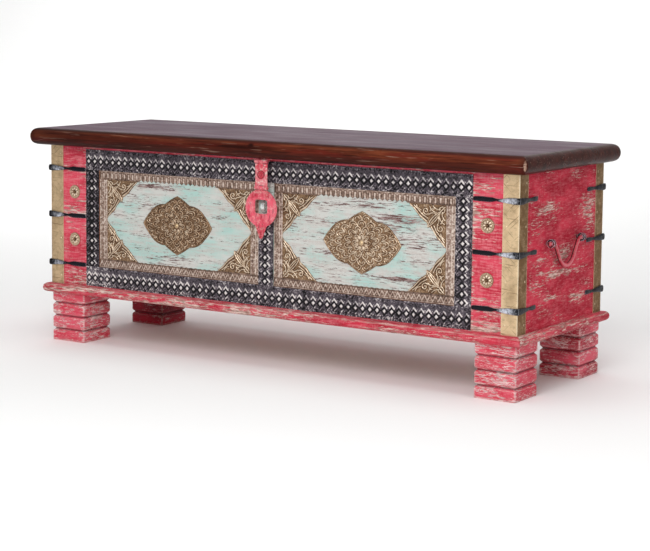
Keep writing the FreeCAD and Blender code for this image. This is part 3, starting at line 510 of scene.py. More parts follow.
def forged_iron(name):
    """Blackened iron from the hammer: soft dents, scale, bright worn edges, and a painted highlight where
    the front straps bend over the brass.
    """
    c = colours()
    material, tree = new_material(name)
    dents = blots(tree, (9, 9, 9), 2.0, 0.5, 2.0)
    scale = blots(tree, (5, 5, 5), 3.0, 0.6, 8.0)
    rim = combine(tree, "MULTIPLY", edge_wear(tree, 1.5, 0.02, 0.25), scale)
    # Painted highlight on the front straps' bends, joined with the worn edges
    bend = combine(tree, "MULTIPLY", spots(tree, STRAP_BEND_HIGHLIGHTS), scale)
    bend = ramp(tree, bend, 0.25, 0.65, 0.85)
    rubbed = combine(tree, "MAXIMUM", rim, bend)
    colour = mixed(tree, rubbed, c.iron, c.iron_bright_and_highlight)
    rough = between(tree, scale, 0.28, 0.5)
    bump = bumps(tree, dents, 0.9, 1.2)
    return finish_material(material, {"Base Color": colour, "Roughness": rough, "Metallic": 0.9,
                                      "Normal": bump})


# Painted irons: the thick and the thin paint, how far their rub marks turn pale, how far the pale ground
# shows in spots, and the colour along the edges. The hasp's strap is rubbed palest, and its nail least.
HASP_STRAP_IRON = "Wrought iron, worn red paint, strap"
HASP_LEAF_IRON = "Wrought iron, worn red paint, leaf"
HASP_NAIL_IRON = "Wrought iron, worn red paint, nail"
BAIL_IRON = "Wrought iron, handled red paint"
EYE_IRON = "Wrought iron, paint worn off"
PAINTED = {HASP_STRAP_IRON: ("red_bright", "red_chalk_and_highlight", 0.9, 0.95, "red_chalk_and_highlight"),
           HASP_LEAF_IRON: ("front_red", "leg_pink", 0.75, 0.3, "red_chalk_and_highlight"),
           HASP_NAIL_IRON: ("front_red", "red_bright", 0.3, 0.1, "grime_and_shade"),
           BAIL_IRON: ("red_deep", "red_bright", 0.35, 0.15, "red_chalk_and_highlight"),
           EYE_IRON: ("iron", "handle_red", 0.2, 0.1, "iron_bright_and_highlight")}


def painted_iron(name):
    """Red paint on wrought iron: chipped along the edges, cracked and rubbed on the flats.

    The handles' bails get a painted highlight outside and painted shade at the back, as their meshes say.
    """
    c = colours()
    material, tree = new_material(name)
    thick, thin, chalk, mottle, chips = PAINTED[name]
    broad = blots(tree, (25, 25, 25), 2.0, 0.5, 4.0)
    colour = laid(tree, getattr(c, thick), getattr(c, thin), broad, 0.4, 0.6)
    fine = blots(tree, (8, 8, 22), 5.0, 0.7, 6.0)
    colour = laid(tree, colour, c.red_chalk_and_highlight, fine, 0.46, 0.62, chalk)
    colour = laid(tree, colour, c.bare_pale, blots(tree, (9, 9, 7), 4.0, 0.72, 9.0), 0.52, 0.6, mottle)
    colour = laid(tree, colour, c.grime_and_shade, blots(tree, (3.2, 3.2, 15), 3.0, 0.65, 12.0), 0.58, 0.66, 0.7)
    # Painted highlight on the bail's outer side, and painted shade on the side that faces the trunk
    if name == BAIL_IRON:
        rub = rub_and_light_of(tree)
        colour = laid(tree, colour, c.red_chalk_and_highlight, rub, 0.78, 0.97, 0.7)
        colour = laid(tree, colour, c.grime_and_shade, rub, 0.6, 0.46, 0.95)
    rim = edge_wear(tree, 1.6, 0.03, 0.3)
    chip = combine(tree, "MULTIPLY_ADD", rim, 0.35, fine)
    chip = ramp(tree, chip, 0.66, 0.74)
    colour = mixed(tree, chip, colour, getattr(c, chips))
    rough = between(tree, chip, 0.5, 0.4)
    bump = bumps(tree, chip, 0.4, 0.3, invert=True)
    return finish_material(material, {"Base Color": colour, "Roughness": rough, "Normal": bump,
                                      "Specular IOR Level": 0.3})


def sawn_boards(name):
    """Unpainted mango boards inside: sawn grain along X, dry and matt."""
    c = colours()
    material, tree = new_material(name)
    figure = blots(tree, (300, 14, 14), 4.0, 0.6, 1.0, 0.6)
    colour = laid(tree, c.sawn_wood, c.sawn_dark, figure, 0.4, 0.62)
    marks = blots(tree, (2, 40, 40), 2.0, 0.5, 3.0)
    bump = bumps(tree, marks, 0.3, 0.4)
    return finish_material(material, {"Base Color": colour, "Roughness": 0.75, "Normal": bump})


def screw_steel(name):
    """Plain steel screws: dull, with the turning marks of the driver."""
    c = colours()
    material, tree = new_material(name)
    cloud = blots(tree, (2, 2, 2), 2.0, 0.5, 2.0)
    colour = mixed(tree, cloud, c.steel, c.iron)
    rough = between(tree, cloud, 0.3, 0.6)
    return finish_material(material, {"Base Color": colour, "Roughness": rough, "Metallic": 1.0})


def plated_steel(name):
    """A zinc-plated staple: a pale metal that the lock has left satin, with a few dull spots."""
    c = colours()
    material, tree = new_material(name)
    cloud = blots(tree, (6, 6, 6), 3.0, 0.6, 4.0)
    dull = ramp(tree, cloud, 0.5, 0.68)
    colour = mixed(tree, dull, c.zinc, c.steel)
    rough = between(tree, dull, 0.34, 0.5)
    return finish_material(material, {"Base Color": colour, "Roughness": rough, "Metallic": 0.7})


def once(name, maker):
    """The material of that name, made the first time that it is asked for."""
    return bpy.data.materials.get(name) or maker(name)


def dress(material, *nodes):
    """Puts a material on CAD nodes that keep their own shape."""
    for node in nodes:
        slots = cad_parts[node].material_slots
        if not slots:
            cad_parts[node].data.materials.append(material)
        for place in slots:
            place.material = material


# Meshes: shells, lofts and raised lines, all in millimetres until a piece is made

# The angle in degrees past which an edge of shaped wood is drawn sharp
WOOD_ARRIS = 50.0


def join(shells):
    """Several shells as one list of points and one of faces."""
    points, faces, start = [], [], 0
    for shell_points, shell_faces in shells:
        points.append(np.asarray(shell_points, float))
        faces += [[i + start for i in face] for face in shell_faces]
        start += len(shell_points)
    return np.concatenate(points), faces


def make_piece(name, shells, material, body, nodes, rub=None, sharp=35.0):
    """One object of several shells that rides on a body and stands for CAD nodes."""
    points, faces = join(shells)
    mesh = bpy.data.meshes.new(name)
    mesh.from_pydata((points * MM).tolist(), [], faces)
    if rub is not None:
        values = np.zeros(len(points), np.float32)
        values[:len(rub)] = rub
        mesh.attributes.new("rub", "FLOAT", "POINT").data.foreach_set("value", values)
    shell = bmesh.new()
    shell.from_mesh(mesh)
    bmesh.ops.recalc_face_normals(shell, faces=shell.faces)
    shell.to_mesh(mesh)
    shell.free()
    mesh.shade_smooth()
    mesh.set_sharp_from_angle(angle=math.radians(sharp))
    mesh.materials.append(material)
    piece = bpy.data.objects.new(name, mesh)
    bpy.context.scene.collection.objects.link(piece)
    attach(piece, body)
    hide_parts(*nodes)
    return piece


def make_sheets(name, sheets, material, node):
    """One embossed piece on the carcass; each sheet is a shell and how far its front is rubbed."""
    rub = [np.concatenate([worn, np.zeros(len(points) - len(worn))]) for (points, _), worn in sheets]
    make_piece(name, [shell for shell, _ in sheets], material, CARCASS, [node], np.concatenate(rub))


def grid_faces(rows, columns):
    """The quads of a grid of points, and its rim as one loop."""
    index = np.arange(rows * columns).reshape(rows, columns)
    quads = np.stack([index[:-1, :-1], index[:-1, 1:], index[1:, 1:], index[1:, :-1]], -1).reshape(-1, 4)
    rim = np.concatenate([index[0, :-1], index[:-1, -1], index[-1, :0:-1], index[:0:-1, 0]])
    return quads, rim


def ring_faces(index):
    """The quads between rings of points, each ring closed on itself."""
    after = np.roll(index, -1, axis=1)
    return np.stack([index[:-1], after[:-1], after[1:], index[1:]], -1).reshape(-1, 4).tolist()


def plate(front, back_y):
    """A closed sheet from a grid of front points, with side walls and a flat back."""
    quads, rim = grid_faces(*front.shape[:2])
    return walled(front.reshape(-1, 3), quads.tolist(), rim, back_y)


def round_plate(front, back_y):
    """A closed sheet from rings of front points, the first ring shrunk to one centre point."""
    rings, turns = front.shape[:2]
    points = np.concatenate([front[0, :1], front[1:].reshape(-1, 3)])
    index = 1 + np.arange((rings - 1) * turns).reshape(rings - 1, turns)
    fan = [[0, int(a), int(b)] for a, b in zip(index[0], np.roll(index[0], -1))]
    return walled(points, ring_faces(index) + fan, index[-1], back_y)


def walled(points, faces, rim, back_y):
    """Closes a front with walls from its rim to a flat back."""
    back = points[rim].copy()
    back[:, 1] = back_y
    low = len(points) + np.arange(len(rim))
    walls = np.stack([rim, np.roll(rim, -1), np.roll(low, -1), low], -1).tolist()
    return np.concatenate([points, back]), faces + walls + [low.tolist()]


def loft(rings):
    """A closed skin over rings of equal count, capped at both ends."""
    rings = np.asarray(rings, float)
    index = np.arange(rings.shape[0] * rings.shape[1]).reshape(rings.shape[:2])
    return rings.reshape(-1, 3), ring_faces(index) + [index[0].tolist(), index[-1].tolist()]


def level_ring(outline, z):
    """A flat outline as points at one height."""
    return np.column_stack([outline, np.full(len(outline), z)])


def pairs(grid_u, grid_v):
    """Two grids of coordinates as one list of points."""
    return np.stack([grid_u.ravel(), grid_v.ravel()], -1)


def full_turn(count):
    """Angles all round a circle."""
    return np.arange(count) / count * 2 * math.pi


def front_points(flat, out, face_y, place, ways=(1, 1)):
    """Flat points on an upright face: place is their origin there, and out how far each stands off."""
    x, z = (place[k] + ways[k] * flat[..., k] for k in (0, 1))
    return np.stack([x, face_y - out.reshape(x.shape), z], -1)


def stand_off(rise, height, most):
    """How far an embossed sheet's front stands off its back."""
    return np.minimum(sizes().sheet / MM + rise / MM * height, most)


def rounded_square(half, corner, per_side=14):
    """A square outline with rounded corners, as pairs."""
    reach = half - corner
    turn = np.linspace(0, math.pi / 2, 6)[1:-1]
    side = [(half, t) for t in np.linspace(-reach, reach, per_side)]
    side += [(reach + corner * math.cos(t), reach + corner * math.sin(t)) for t in turn]
    side = np.array(side)
    quarters = [side, side[:, ::-1] * (-1, 1), -side, side[:, ::-1] * (1, -1)]
    return np.concatenate(quarters)


def raise_lines(points, height, lines, half, rise):
    """Raises a rounded ridge of that half width along each line of points."""
    for line in lines:
        line = np.asarray(line, float)
        near = np.all((points > line.min(0) - half) & (points < line.max(0) + half), axis=1)
        if not near.any():
            continue
        close = points[near]
        gap = np.full(len(close), np.inf)
        for a, b in zip(line[:-1], line[1:]):
            along = b - a
            share = np.clip((close - a) @ along / max(along @ along, 1e-9), 0, 1)
            gap = np.minimum(gap, np.linalg.norm(close - a - share[:, None] * along, axis=1))
        height[near] = np.maximum(height[near], rise * np.sqrt(np.clip(1 - (gap / half) ** 2, 0, 1)))


def raise_beads(points, height, centres, radius, rise):
    """Raises a round bead at each centre."""
    for centre in centres:
        near = np.all(np.abs(points - centre) < radius, axis=1)
        gap = np.linalg.norm(points[near] - centre, axis=1) / radius
        height[near] = np.maximum(height[near], rise * np.sqrt(np.clip(1 - gap ** 2, 0, 1)))


def ridge(place, centre, half):
    """1 at a centre, and down to 0 at that half width on either side."""
    return np.clip(1 - np.abs(place - centre) / half, 0, 1)


def curl(x, z, radius, turns, start, way=1, steps=26):
    """A scroll that winds in from its outer end."""
    share = np.linspace(0, 1, steps)
    angle = start + way * share * turns * 2 * math.pi
    reach = radius * (1 - 0.86 * share)
    return np.stack([x + reach * np.cos(angle), z + reach * np.sin(angle)], -1)


def bow(a, b, bulge, steps=10):
    """A curved stroke from a to b that bulges to its left by that share of its length."""
    a, b = np.asarray(a, float), np.asarray(b, float)
    share = np.linspace(0, 1, steps)[:, None]
    side = np.array([-(b - a)[1], (b - a)[0]])
    return a + (b - a) * share + side * bulge * 4 * share * (1 - share)


def beside(points, lines, reach):
    """How close each point lies to the nearest line, from 0 at that reach to 1 on it."""
    near = np.zeros(len(points))
    raise_lines(points, near, lines, reach, 1.0)
    return near


def uneven(points, size_mm, seed):
    """Slow waves over a sheet, from -1 to 1, as hand work leaves them."""
    rng = np.random.default_rng(seed)
    total = np.zeros(len(points))
    waves = 6
    for _ in range(waves):
        angle, phase = rng.uniform(0, 2 * math.pi, 2)
        step = size_mm * rng.uniform(0.6, 1.6)
        total += np.sin(2 * math.pi * (points @ [math.cos(angle), math.sin(angle)]) / step + phase)
    return total / waves


# Pin pricks of a punched ground are under a millimetre, and are drawn this wide so that they show
GRIT_MM = 2.2
BORDER_GRIT_MM = 1.9


def pricks(points, size_mm, seed):
    """Random pin pricks over flat points, from -1 to 1, each about size_mm across."""
    rng = np.random.default_rng(seed)
    u, v = ((place - place.min()) / size_mm for place in points.T)
    cells = rng.uniform(-1, 1, (int(u.max()) + 3, int(v.max()) + 3))
    i, j = u.astype(int), v.astype(int)
    a, b = u - i, v - j
    near = cells[i, j] * (1 - a) + cells[i + 1, j] * a
    far = cells[i, j + 1] * (1 - a) + cells[i + 1, j + 1] * a
    return near * (1 - b) + far * b


def box_mm(node):
    low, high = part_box(node)
    return np.array(low) / MM, np.array(high) / MM


def solid_boxes(node, count):
    """The boxes of a node's separate solids, in order along X and then Z."""
    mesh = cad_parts[node].data
    points = np.array([v.co for v in mesh.vertices]) / MM
    parent = list(range(len(points)))

    def top(i):
        while parent[i] != i:
            parent[i] = parent[parent[i]]
            i = parent[i]
        return i

    seen = {}
    for i, p in enumerate(np.round(points, 2).tolist()):
        parent[top(i)] = top(seen.setdefault(tuple(p), i))
    for edge in mesh.edges:
        parent[top(edge.vertices[0])] = top(edge.vertices[1])
    groups = {}
    for i in range(len(points)):
        groups.setdefault(top(i), []).append(i)
    boxes = [(points[g].min(0), points[g].max(0)) for g in groups.values()]
    if len(boxes) != count:
        raise RuntimeError(f"{node} has {len(boxes)} solids and not {count}")
    return sorted(boxes, key=lambda b: (round(b[0][0], 1), round(b[0][2], 1)))


# Embossed strips

# The black strips: points along and across one repeat, the ground's share of the relief, and half the width
# of the bead along each edge in millimetres
STRIP_COLUMNS = 20
STRIP_ROWS = 52
STRIP_GROUND = 0.32
STRIP_EDGE = 0.9


def border_tile(across, pitch, upright):
    """One repeat of the black strip: a bright diamond in a sunk zigzag, chevrons outside it, and beads."""
    u = (np.arange(STRIP_COLUMNS) / STRIP_COLUMNS - 0.5) * pitch
    v = np.linspace(0, across, STRIP_ROWS)
    points = pairs(*np.meshgrid(u, v, indexing="ij"))
    middle = across * (0.45 if upright else 0.42)
    half_u, half_v = 0.30 * pitch, 0.32 * pitch
    shifts = (-pitch, 0.0, pitch)
    diamonds = [np.abs(points[:, 0] - shift) / half_u + np.abs(points[:, 1] - middle) / half_v
                for shift in shifts]
    reach = np.min(diamonds, axis=0)
    sunk = np.clip(np.minimum((reach - 0.98) / 0.1, (1.95 - reach) / 0.2), 0, 1)
    height = np.full(len(points), STRIP_GROUND) * (1 - sunk)
    top, bottom = middle + 2.35 * half_v, middle - 2.25 * half_v
    for shift in shifts:
        apex, foot = (shift, top), (shift, bottom)
        raise_lines(points, height, [[apex, (shift + 5.4, top - 5.8)]], 2.1, 1.0)
        raise_lines(points, height, [[(shift - 4.6, top - 5.0), apex]], 1.7, 0.72)
        raise_lines(points, height, [[foot, (shift + 5.0, bottom + 5.2)]], 1.5, 0.62)
        raise_beads(points, height, [(shift + pitch / 2, top - 2.4)], 1.7, 0.72)
        raise_beads(points, height, [(shift + pitch / 2, bottom + 2.0)], 1.6, 0.66)
    height = np.maximum(height, np.clip((1 - reach) * 2.6, 0, 1))
    for edge in (STRIP_EDGE, across - STRIP_EDGE):
        height = np.maximum(height, 0.5 * ridge(points[:, 1], edge, STRIP_EDGE))
    return height.reshape(STRIP_COLUMNS, STRIP_ROWS)


def border_strip(low, high, upright, seed, grey=0.0, joint=None):
    """A black strip over one CAD box, with how far each point is rubbed; a joint is where two lap."""
    along, across = (2, 0) if upright else (0, 2)
    span, width = high[along] - low[along], high[across] - low[across]
    count = max(1, round(span / (sizes().border_pitch / MM)))
    tile = border_tile(width, span / count, upright)
    rng = np.random.default_rng(seed)
    rubbing = np.repeat(rng.uniform(0.2, 1.0, count), STRIP_COLUMNS)
    height = np.tile(tile, (count, 1))
    height = np.concatenate([height, height[:1]])
    rubbing = np.concatenate([rubbing, rubbing[:1]])
    u = np.linspace(low[along], high[along], len(height))
    v = np.linspace(low[across], high[across], STRIP_ROWS)
    grid_u, grid_v = np.meshgrid(u, v, indexing="ij")
    flat = pairs(grid_u, grid_v)
    wave = uneven(flat, 55, seed).reshape(height.shape)
    grit = pricks(flat, BORDER_GRIT_MM, seed + 5).reshape(height.shape)
    share = (grid_v - low[across]) / width
    band = np.clip((0.25 - share) / 0.06, 0, 1) + 0.6 * np.clip((share - 0.8) / 0.06, 0, 1)
    relief = np.clip(height + 0.2 * band * grit, 0, 1)
    out = sizes().sheet / MM + sizes().border_rise / MM * relief * (0.9 + 0.1 * wave)
    rub = height * (0.5 + 0.5 * rubbing[:, None]) + (0.17 + 0.28 * band) * grit + 0.08 * wave + grey
    if joint is not None:
        lapped = grid_u < joint
        out = np.where(lapped, out * 0.9 + 0.2, out * 0.98)
        rub = np.where(lapped, rub + 0.12, rub)
    x, z = (grid_v, grid_u) if upright else (grid_u, grid_v)
    front = np.stack([x, high[1] - np.minimum(out, high[1] - low[1]), z], -1)
    return plate(front, high[1]), rub.ravel()


# The edging's leaves in millimetres: their width and how far their tips stand out, at the bottom and at
# the top rail, and how far from each end of a rail the tips start, past the corner ornaments
BOTTOM_LEAVES = (11.5, 1.2)
TOP_LEAVES = (11.0, 4.2)
LEAVES_FROM = 102


def edging_rail(low, high, inner_up, seed):
    """A level brass strip: a row of pointed leaves whose tips make the serrated inner edge."""
    width, span = high[2] - low[2], high[0] - low[0]
    leaf, tip = BOTTOM_LEAVES if inner_up else TOP_LEAVES
    count = round(span / leaf)
    pitch = span / count
    u = np.linspace(0, span, count * 8 + 1)
    saw = np.abs((u / pitch) % 1 - 0.5) * 2
    open_run = np.clip((np.minimum(u, span - u) - LEAVES_FROM) / 2, 0, 1)
    edge = width - tip * saw * open_run
    grid_u, grid_s = np.meshgrid(u, np.linspace(0, 1, 22), indexing="ij")
    flat = np.stack([grid_u, grid_s * edge[:, None]], -1)
    points = flat.reshape(-1, 2)
    height = np.zeros(len(points))
    for x in (np.arange(count) + 0.5) * pitch:
        gap = x + pitch / 2
        if inner_up:
            vee = [[(x - pitch / 2, 3.5), (x, width - 4.0)], [(x, width - 4.0), (gap, 3.5)]]
            raise_lines(points, height, vee, 1.3, 0.9)
            raise_beads(points, height, [(x, 5.0), (gap, width - 5.0)], 1.7, 0.7)
        else:
            raise_lines(points, height, [[(gap, 6.0), (gap, width - 4.5)]], 1.9, 1.0)
            raise_lines(points, height, [[(x, 7.0), (x, width - 2.0)]], 0.9, 0.55)
            raise_beads(points, height, [(x, 4.4)], 1.9, 0.75)
    raise_lines(points, height, [[(0, 1.4), (span, 1.4)]], 1.0, 0.7)
    height = height * (0.9 + 0.1 * uneven(points, 40, seed))
    out = stand_off(sizes().edging_rise, height, high[1] - low[1])
    place, ways = ((low[0], low[2]), (1, 1)) if inner_up else ((low[0], high[2]), (1, -1))
    grit = pricks(points, GRIT_MM, seed + 3)
    rub = 0.2 + 0.7 * height + 0.16 * uneven(points, 30, seed + 1) + 0.26 * grit
    return plate(front_points(flat, out, high[1], place, ways), high[1]), rub


def edging_side(low, high, seed):
    """An upright brass strip: three ridges and a stipple of small beads between them."""
    width, span = high[0] - low[0], high[2] - low[2]
    u, v = np.linspace(0, width, 24), np.linspace(0, span, round(span / 0.9))
    flat = np.stack(np.meshgrid(u, v, indexing="ij"), -1)
    points = flat.reshape(-1, 2)
    height = np.zeros(len(points))
    rng = np.random.default_rng(seed)
    beads = rng.uniform((2, 2), (width - 2, span - 2), (260, 2))
    raise_beads(points, height, beads, 1.5, 0.6)
    ridges = [[(x, 0), (x, span)] for x in (1.5, width * 0.62, width - 1.5)]
    raise_lines(points, height, ridges, 0.9, 0.95)
    out = stand_off(sizes().edging_rise, height, high[1] - low[1])
    grit = pricks(points, GRIT_MM, seed + 3)
    rub = 0.36 + 0.45 * height + 0.16 * uneven(points, 30, seed + 1) + 0.34 * grit
    return plate(front_points(flat, out, high[1], (low[0], low[2])), high[1]), rub


# Embossed ornaments

SPANDREL_EDGE = np.array([(1.0, 0.0), (0.86, 0.13), (0.70, 0.31), (0.52, 0.43), (0.49, 0.55),
                          (0.43, 0.53), (0.31, 0.65), (0.24, 0.78), (0.03, 0.95), (0.0, 1.0)])


def spandrel_lines():
    """The strokes of a corner ornament, in millimetres from its corner along rail and stile."""
    wing = [[(77, 2), (67, 9.5), (55, 22), (41, 31)], [(69, 3), (61, 9), (50, 19.5), (39, 25.5)]]
    wing += [curl(43, 12, 7.2, 1.3, 2.4, -1), bow((20, 14), (35, 3), 0.16), bow((13, 8.5), (28, 2), 0.14)]
    wing += [bow((21, 17.5), (37, 19), -0.2), bow((53, 11), (63, 3), 0.15), bow((27, 8), (34, 12), -0.25)]
    both = wing + [np.asarray(line)[:, ::-1] for line in wing]
    leaf = [bow((12, 12), (40, 42), 0.1, 14), bow((12, 12), (40, 42), -0.1, 14), [(16, 16.5), (33, 35)]]
    return both + leaf + [[(3, 3), (11, 11)], bow((3, 7), (9, 15), 0.2), bow((7, 3), (15, 9), -0.2)]


def spandrel(corner, ways, size, face_y, thickness, lines, seed):
    """A corner ornament: two fanned wings and a leaf between them, raised out of the sheet."""
    angles = np.linspace(0, math.pi / 2, 112)
    edge = SPANDREL_EDGE * size
    edge_angles = np.arctan2(edge[:, 1], edge[:, 0])
    along = np.interp(angles, edge_angles, np.arange(len(edge)))
    first = np.minimum(along.astype(int), len(edge) - 2)
    share = (along - first)[:, None]
    outer = edge[first] * (1 - share) + edge[first + 1] * share
    shares = np.linspace(0.008, 1, 92)
    flat = shares[:, None, None] * outer[None]
    points = flat.reshape(-1, 2)
    height = np.zeros(len(points))
    stroke, bead, moat_reach = 1.3, 1.1, 3.0
    raise_lines(points, height, lines, stroke, 1.0)
    rng = np.random.default_rng(seed)
    raise_beads(points, height, rng.uniform(2, 60, (160, 2)), bead, 0.4)
    height = np.maximum(height, 0.85 * ridge(np.repeat(shares, len(angles)), 0.972, 0.022))
    out = stand_off(sizes().spandrel_rise, height, thickness)
    grit = pricks(points, GRIT_MM, seed + 3)
    # Darker patina and painted shade in the moat beside the raised lines
    moat = beside(points, lines, moat_reach) * (1 - height)
    rub = 0.3 + 0.55 * height - 0.3 * moat + 0.14 * uneven(points, 25, seed) + 0.2 * grit
    return plate(front_points(flat, out, face_y, corner, ways), face_y), rub


# Three points on each lobe of a quarter of the medallion, as shares of its half width and half height
MEDALLION_LOBES = (((0.0, 1.0), (0.185, 0.865), (0.36, 0.70)), ((0.36, 0.70), (0.60, 0.625), (0.79, 0.40)),
                   ((0.79, 0.40), (0.905, 0.215), (1.0, 0.0)))


def arc_through(a, b, c, steps):
    """Points on the circle through three points, from a to c."""
    a, b, c = (np.asarray(p, float) for p in (a, b, c))
    matrix = 2 * np.array([b - a, c - a])
    centre = np.linalg.solve(matrix, np.array([b @ b - a @ a, c @ c - a @ a]))
    angles = np.unwrap([math.atan2(*(p - centre)[::-1]) for p in (a, b, c)])
    turn = np.linspace(angles[0], angles[2], steps)
    return centre + np.linalg.norm(a - centre) * np.stack([np.cos(turn), np.sin(turn)], -1)


def medallion_edge(half_w, half_h):
    """A quarter of the lobed outline, from its top tip to its side tip."""
    arcs = [arc_through(*[(x * half_w, z * half_h) for x, z in lobe], 30) for lobe in MEDALLION_LOBES]
    return np.concatenate([arc[:-1] for arc in arcs] + [arcs[-1][-1:]])


def petal(angle, inner, outer, half_angle, stretch):
    """The outline of one round-ended petal that points away from the centre."""
    share = np.linspace(-1, 1, 15)
    reach = inner + (outer - inner) * np.sqrt(np.cos(share * math.pi / 2) + 1e-9)
    turn = angle + half_angle * share
    return np.stack([stretch * reach * np.cos(turn), reach * np.sin(turn)], -1)


# Rings of the medallion's petals: how many all round, from and to which radius in millimetres, how
# far they are stretched sideways, and by what share of a petal they are turned. Then the radius of the
# ring round the boss, and how far the plate's edge stands off the panel.
PETAL_RINGS = ((8, 7.5, 18.5, 1.05, 0.0), (12, 19.5, 31.5, 1.25, 0.5), (16, 32.5, 43.0, 1.4, 0.0),
               (20, 44.0, 54.0, 1.44, 0.5))
BOSS_RING = 5.6
MEDALLION_EDGE = 0.6


def medallion_lines():
    """A quarter of the medallion's flower, in millimetres from its centre; the rest mirrors it."""
    lines = []
    for count, inner, outer, stretch, turned in PETAL_RINGS:
        for angle in (np.arange(count // 4 + 1) + turned) * 2 * math.pi / count:
            lines.append(petal(angle, inner, outer, 0.93 * math.pi / count, stretch))
            lines.append(petal(angle, inner + 1.5, outer - 4.6, 0.46 * math.pi / count, stretch))
    return lines


def medallion(centre, half_w, half_h, face_y, thickness, lines, wash, seed):
    """A lobed, slightly domed plate: a ringed boss, four rings of petals, and a thin rim."""
    quarter = medallion_edge(half_w, half_h)
    half = np.concatenate([quarter, (quarter * (1, -1))[-2::-1]])
    edge = np.concatenate([half, (half * (-1, 1))[-2:0:-1]])
    shares = np.concatenate([[0.0], np.linspace(0.012, 1, 104)])
    flat = shares[:, None, None] * edge[None]
    rim = np.repeat(shares, len(edge))
    points = flat.reshape(-1, 2)
    folded = np.abs(points)
    height = np.zeros(len(points))
    stroke, bead, moat_reach = 1.15, 1.0, 2.8
    raise_lines(folded, height, lines, stroke, 1.0)
    rng = np.random.default_rng(seed)
    raise_beads(folded, height, rng.uniform((0, 0), (half_w, half_h), (320, 2)), bead, 0.5)
    height = np.maximum(height, ridge(np.linalg.norm(points, axis=1), BOSS_RING, 0.9))
    height = height * np.clip((0.955 - rim) / 0.02, 0, 1)
    height = np.maximum(height, 0.8 * ridge(rim, 0.975, 0.016))
    rise = sizes().medallion_rise / MM
    dome = MEDALLION_EDGE + (thickness - rise - MEDALLION_EDGE) * np.clip(1 - rim ** 2, 0, 1)
    out = np.minimum(dome + rise * height, thickness)
    kept = np.concatenate([[0], np.arange(len(edge), len(points))])
    grit = pricks(points, GRIT_MM, seed + 3)
    # Darker patina and painted shade in the moat beside the raised lines
    moat = beside(folded, lines, moat_reach) * (1 - height)
    rub = 0.33 + wash + 0.4 * height - 0.26 * moat + 0.12 * uneven(points, 30, seed) + 0.2 * grit
    return round_plate(front_points(flat, out, face_y, centre), face_y), rub[kept]


# How far a rosette's sheet stands off the wood at its centre, in millimetres
ROSETTE_SHEET = 0.8


def rosette(centre, radius, face_y, thickness, petals=8, boss_share=0.24):
    """A stamped flower: a boss, a ring of petals, a beaded ring and a plain rim."""
    turns = 144
    shares = np.concatenate([[0.0], np.linspace(0.03, 1, 34)])
    reach, angle = np.meshgrid(shares * radius, full_turn(turns), indexing="ij")
    part = reach / radius
    boss = np.sqrt(np.clip(1 - (part / boss_share) ** 2, 0, 1))
    leaves = np.abs(np.cos(angle * petals / 2)) ** 0.7 * ridge(part, 0.48, 0.24) ** 0.5 * 0.8
    beads = np.abs(np.cos(angle * 11)) * ridge(part, 0.81, 0.12) ** 0.5 * 0.6
    height = np.maximum.reduce([boss, leaves, beads, ridge(part, 0.96, 0.05) * 0.4])
    base = ROSETTE_SHEET * (1 - 0.6 * part)
    out = np.minimum(base + (thickness - ROSETTE_SHEET) * height, thickness)
    flat = np.stack([reach * np.cos(angle), reach * np.sin(angle)], -1)
    kept = np.concatenate([[0], np.arange(turns, height.size)])
    hollow = np.clip(1 - part / 0.3, 0, 1)
    rub = 0.36 + 0.75 * height - 0.9 * hollow
    return round_plate(front_points(flat, out, face_y, centre), face_y), rub.ravel()[kept]


# Forged pieces

def rounded_section(half_a, half_b, turns=20, power=4.0):
    """A rounded rectangle's outline as pairs."""
    angle = full_turn(turns)
    cosine, sine = np.cos(angle), np.sin(angle)
    return np.stack([half_a * np.sign(cosine) * np.abs(cosine) ** (2 / power),
                     half_b * np.sign(sine) * np.abs(sine) ** (2 / power)], -1)


def tube(path, radii, side, turns=14):
    """A round bar along a flat path; side is the direction square to the path's plane."""
    path = np.asarray(path, float)
    side = np.asarray(side, float)
    forward = np.gradient(path, axis=0)
    forward /= np.linalg.norm(forward, axis=1)[:, None]
    other = np.cross(forward, side)
    angle = full_turn(turns)
    rings = [p + r * (np.outer(np.cos(angle), side) + np.outer(np.sin(angle), o))
             for p, r, o in zip(path, radii, other)]
    return loft(rings)


def barrel(x0, x1, y, z, radius):
    """A hinge knuckle: a short round bar along X with softened ends."""
    soft = min(0.5, (x1 - x0) / 4)
    stations = ((x0, radius - soft), (x0 + soft, radius), (x1 - soft, radius), (x1, radius - soft))
    angle = full_turn(20)
    rings = [np.stack([np.full(len(angle), x), y + r * np.cos(angle), z + r * np.sin(angle)], -1)
             for x, r in stations]
    return loft(rings)


def slab(x0, x1, y0, y1, z0, z1, bend=0.0):
    """A forged plate standing on edge: rounded edges, drawn along Z, its middle swelling a little."""
    rings, middle = [], np.array([x0 + x1, y0 + y1]) / 2
    outline = rounded_section((x1 - x0) / 2, (y1 - y0) / 2, 24, 6.0)
    for share in np.linspace(0, 1, 9):
        swell = (1 + bend * math.sin(math.pi * share), 1)
        rings.append(level_ring(middle + outline * swell, z0 + (z1 - z0) * share))
    return loft(rings)


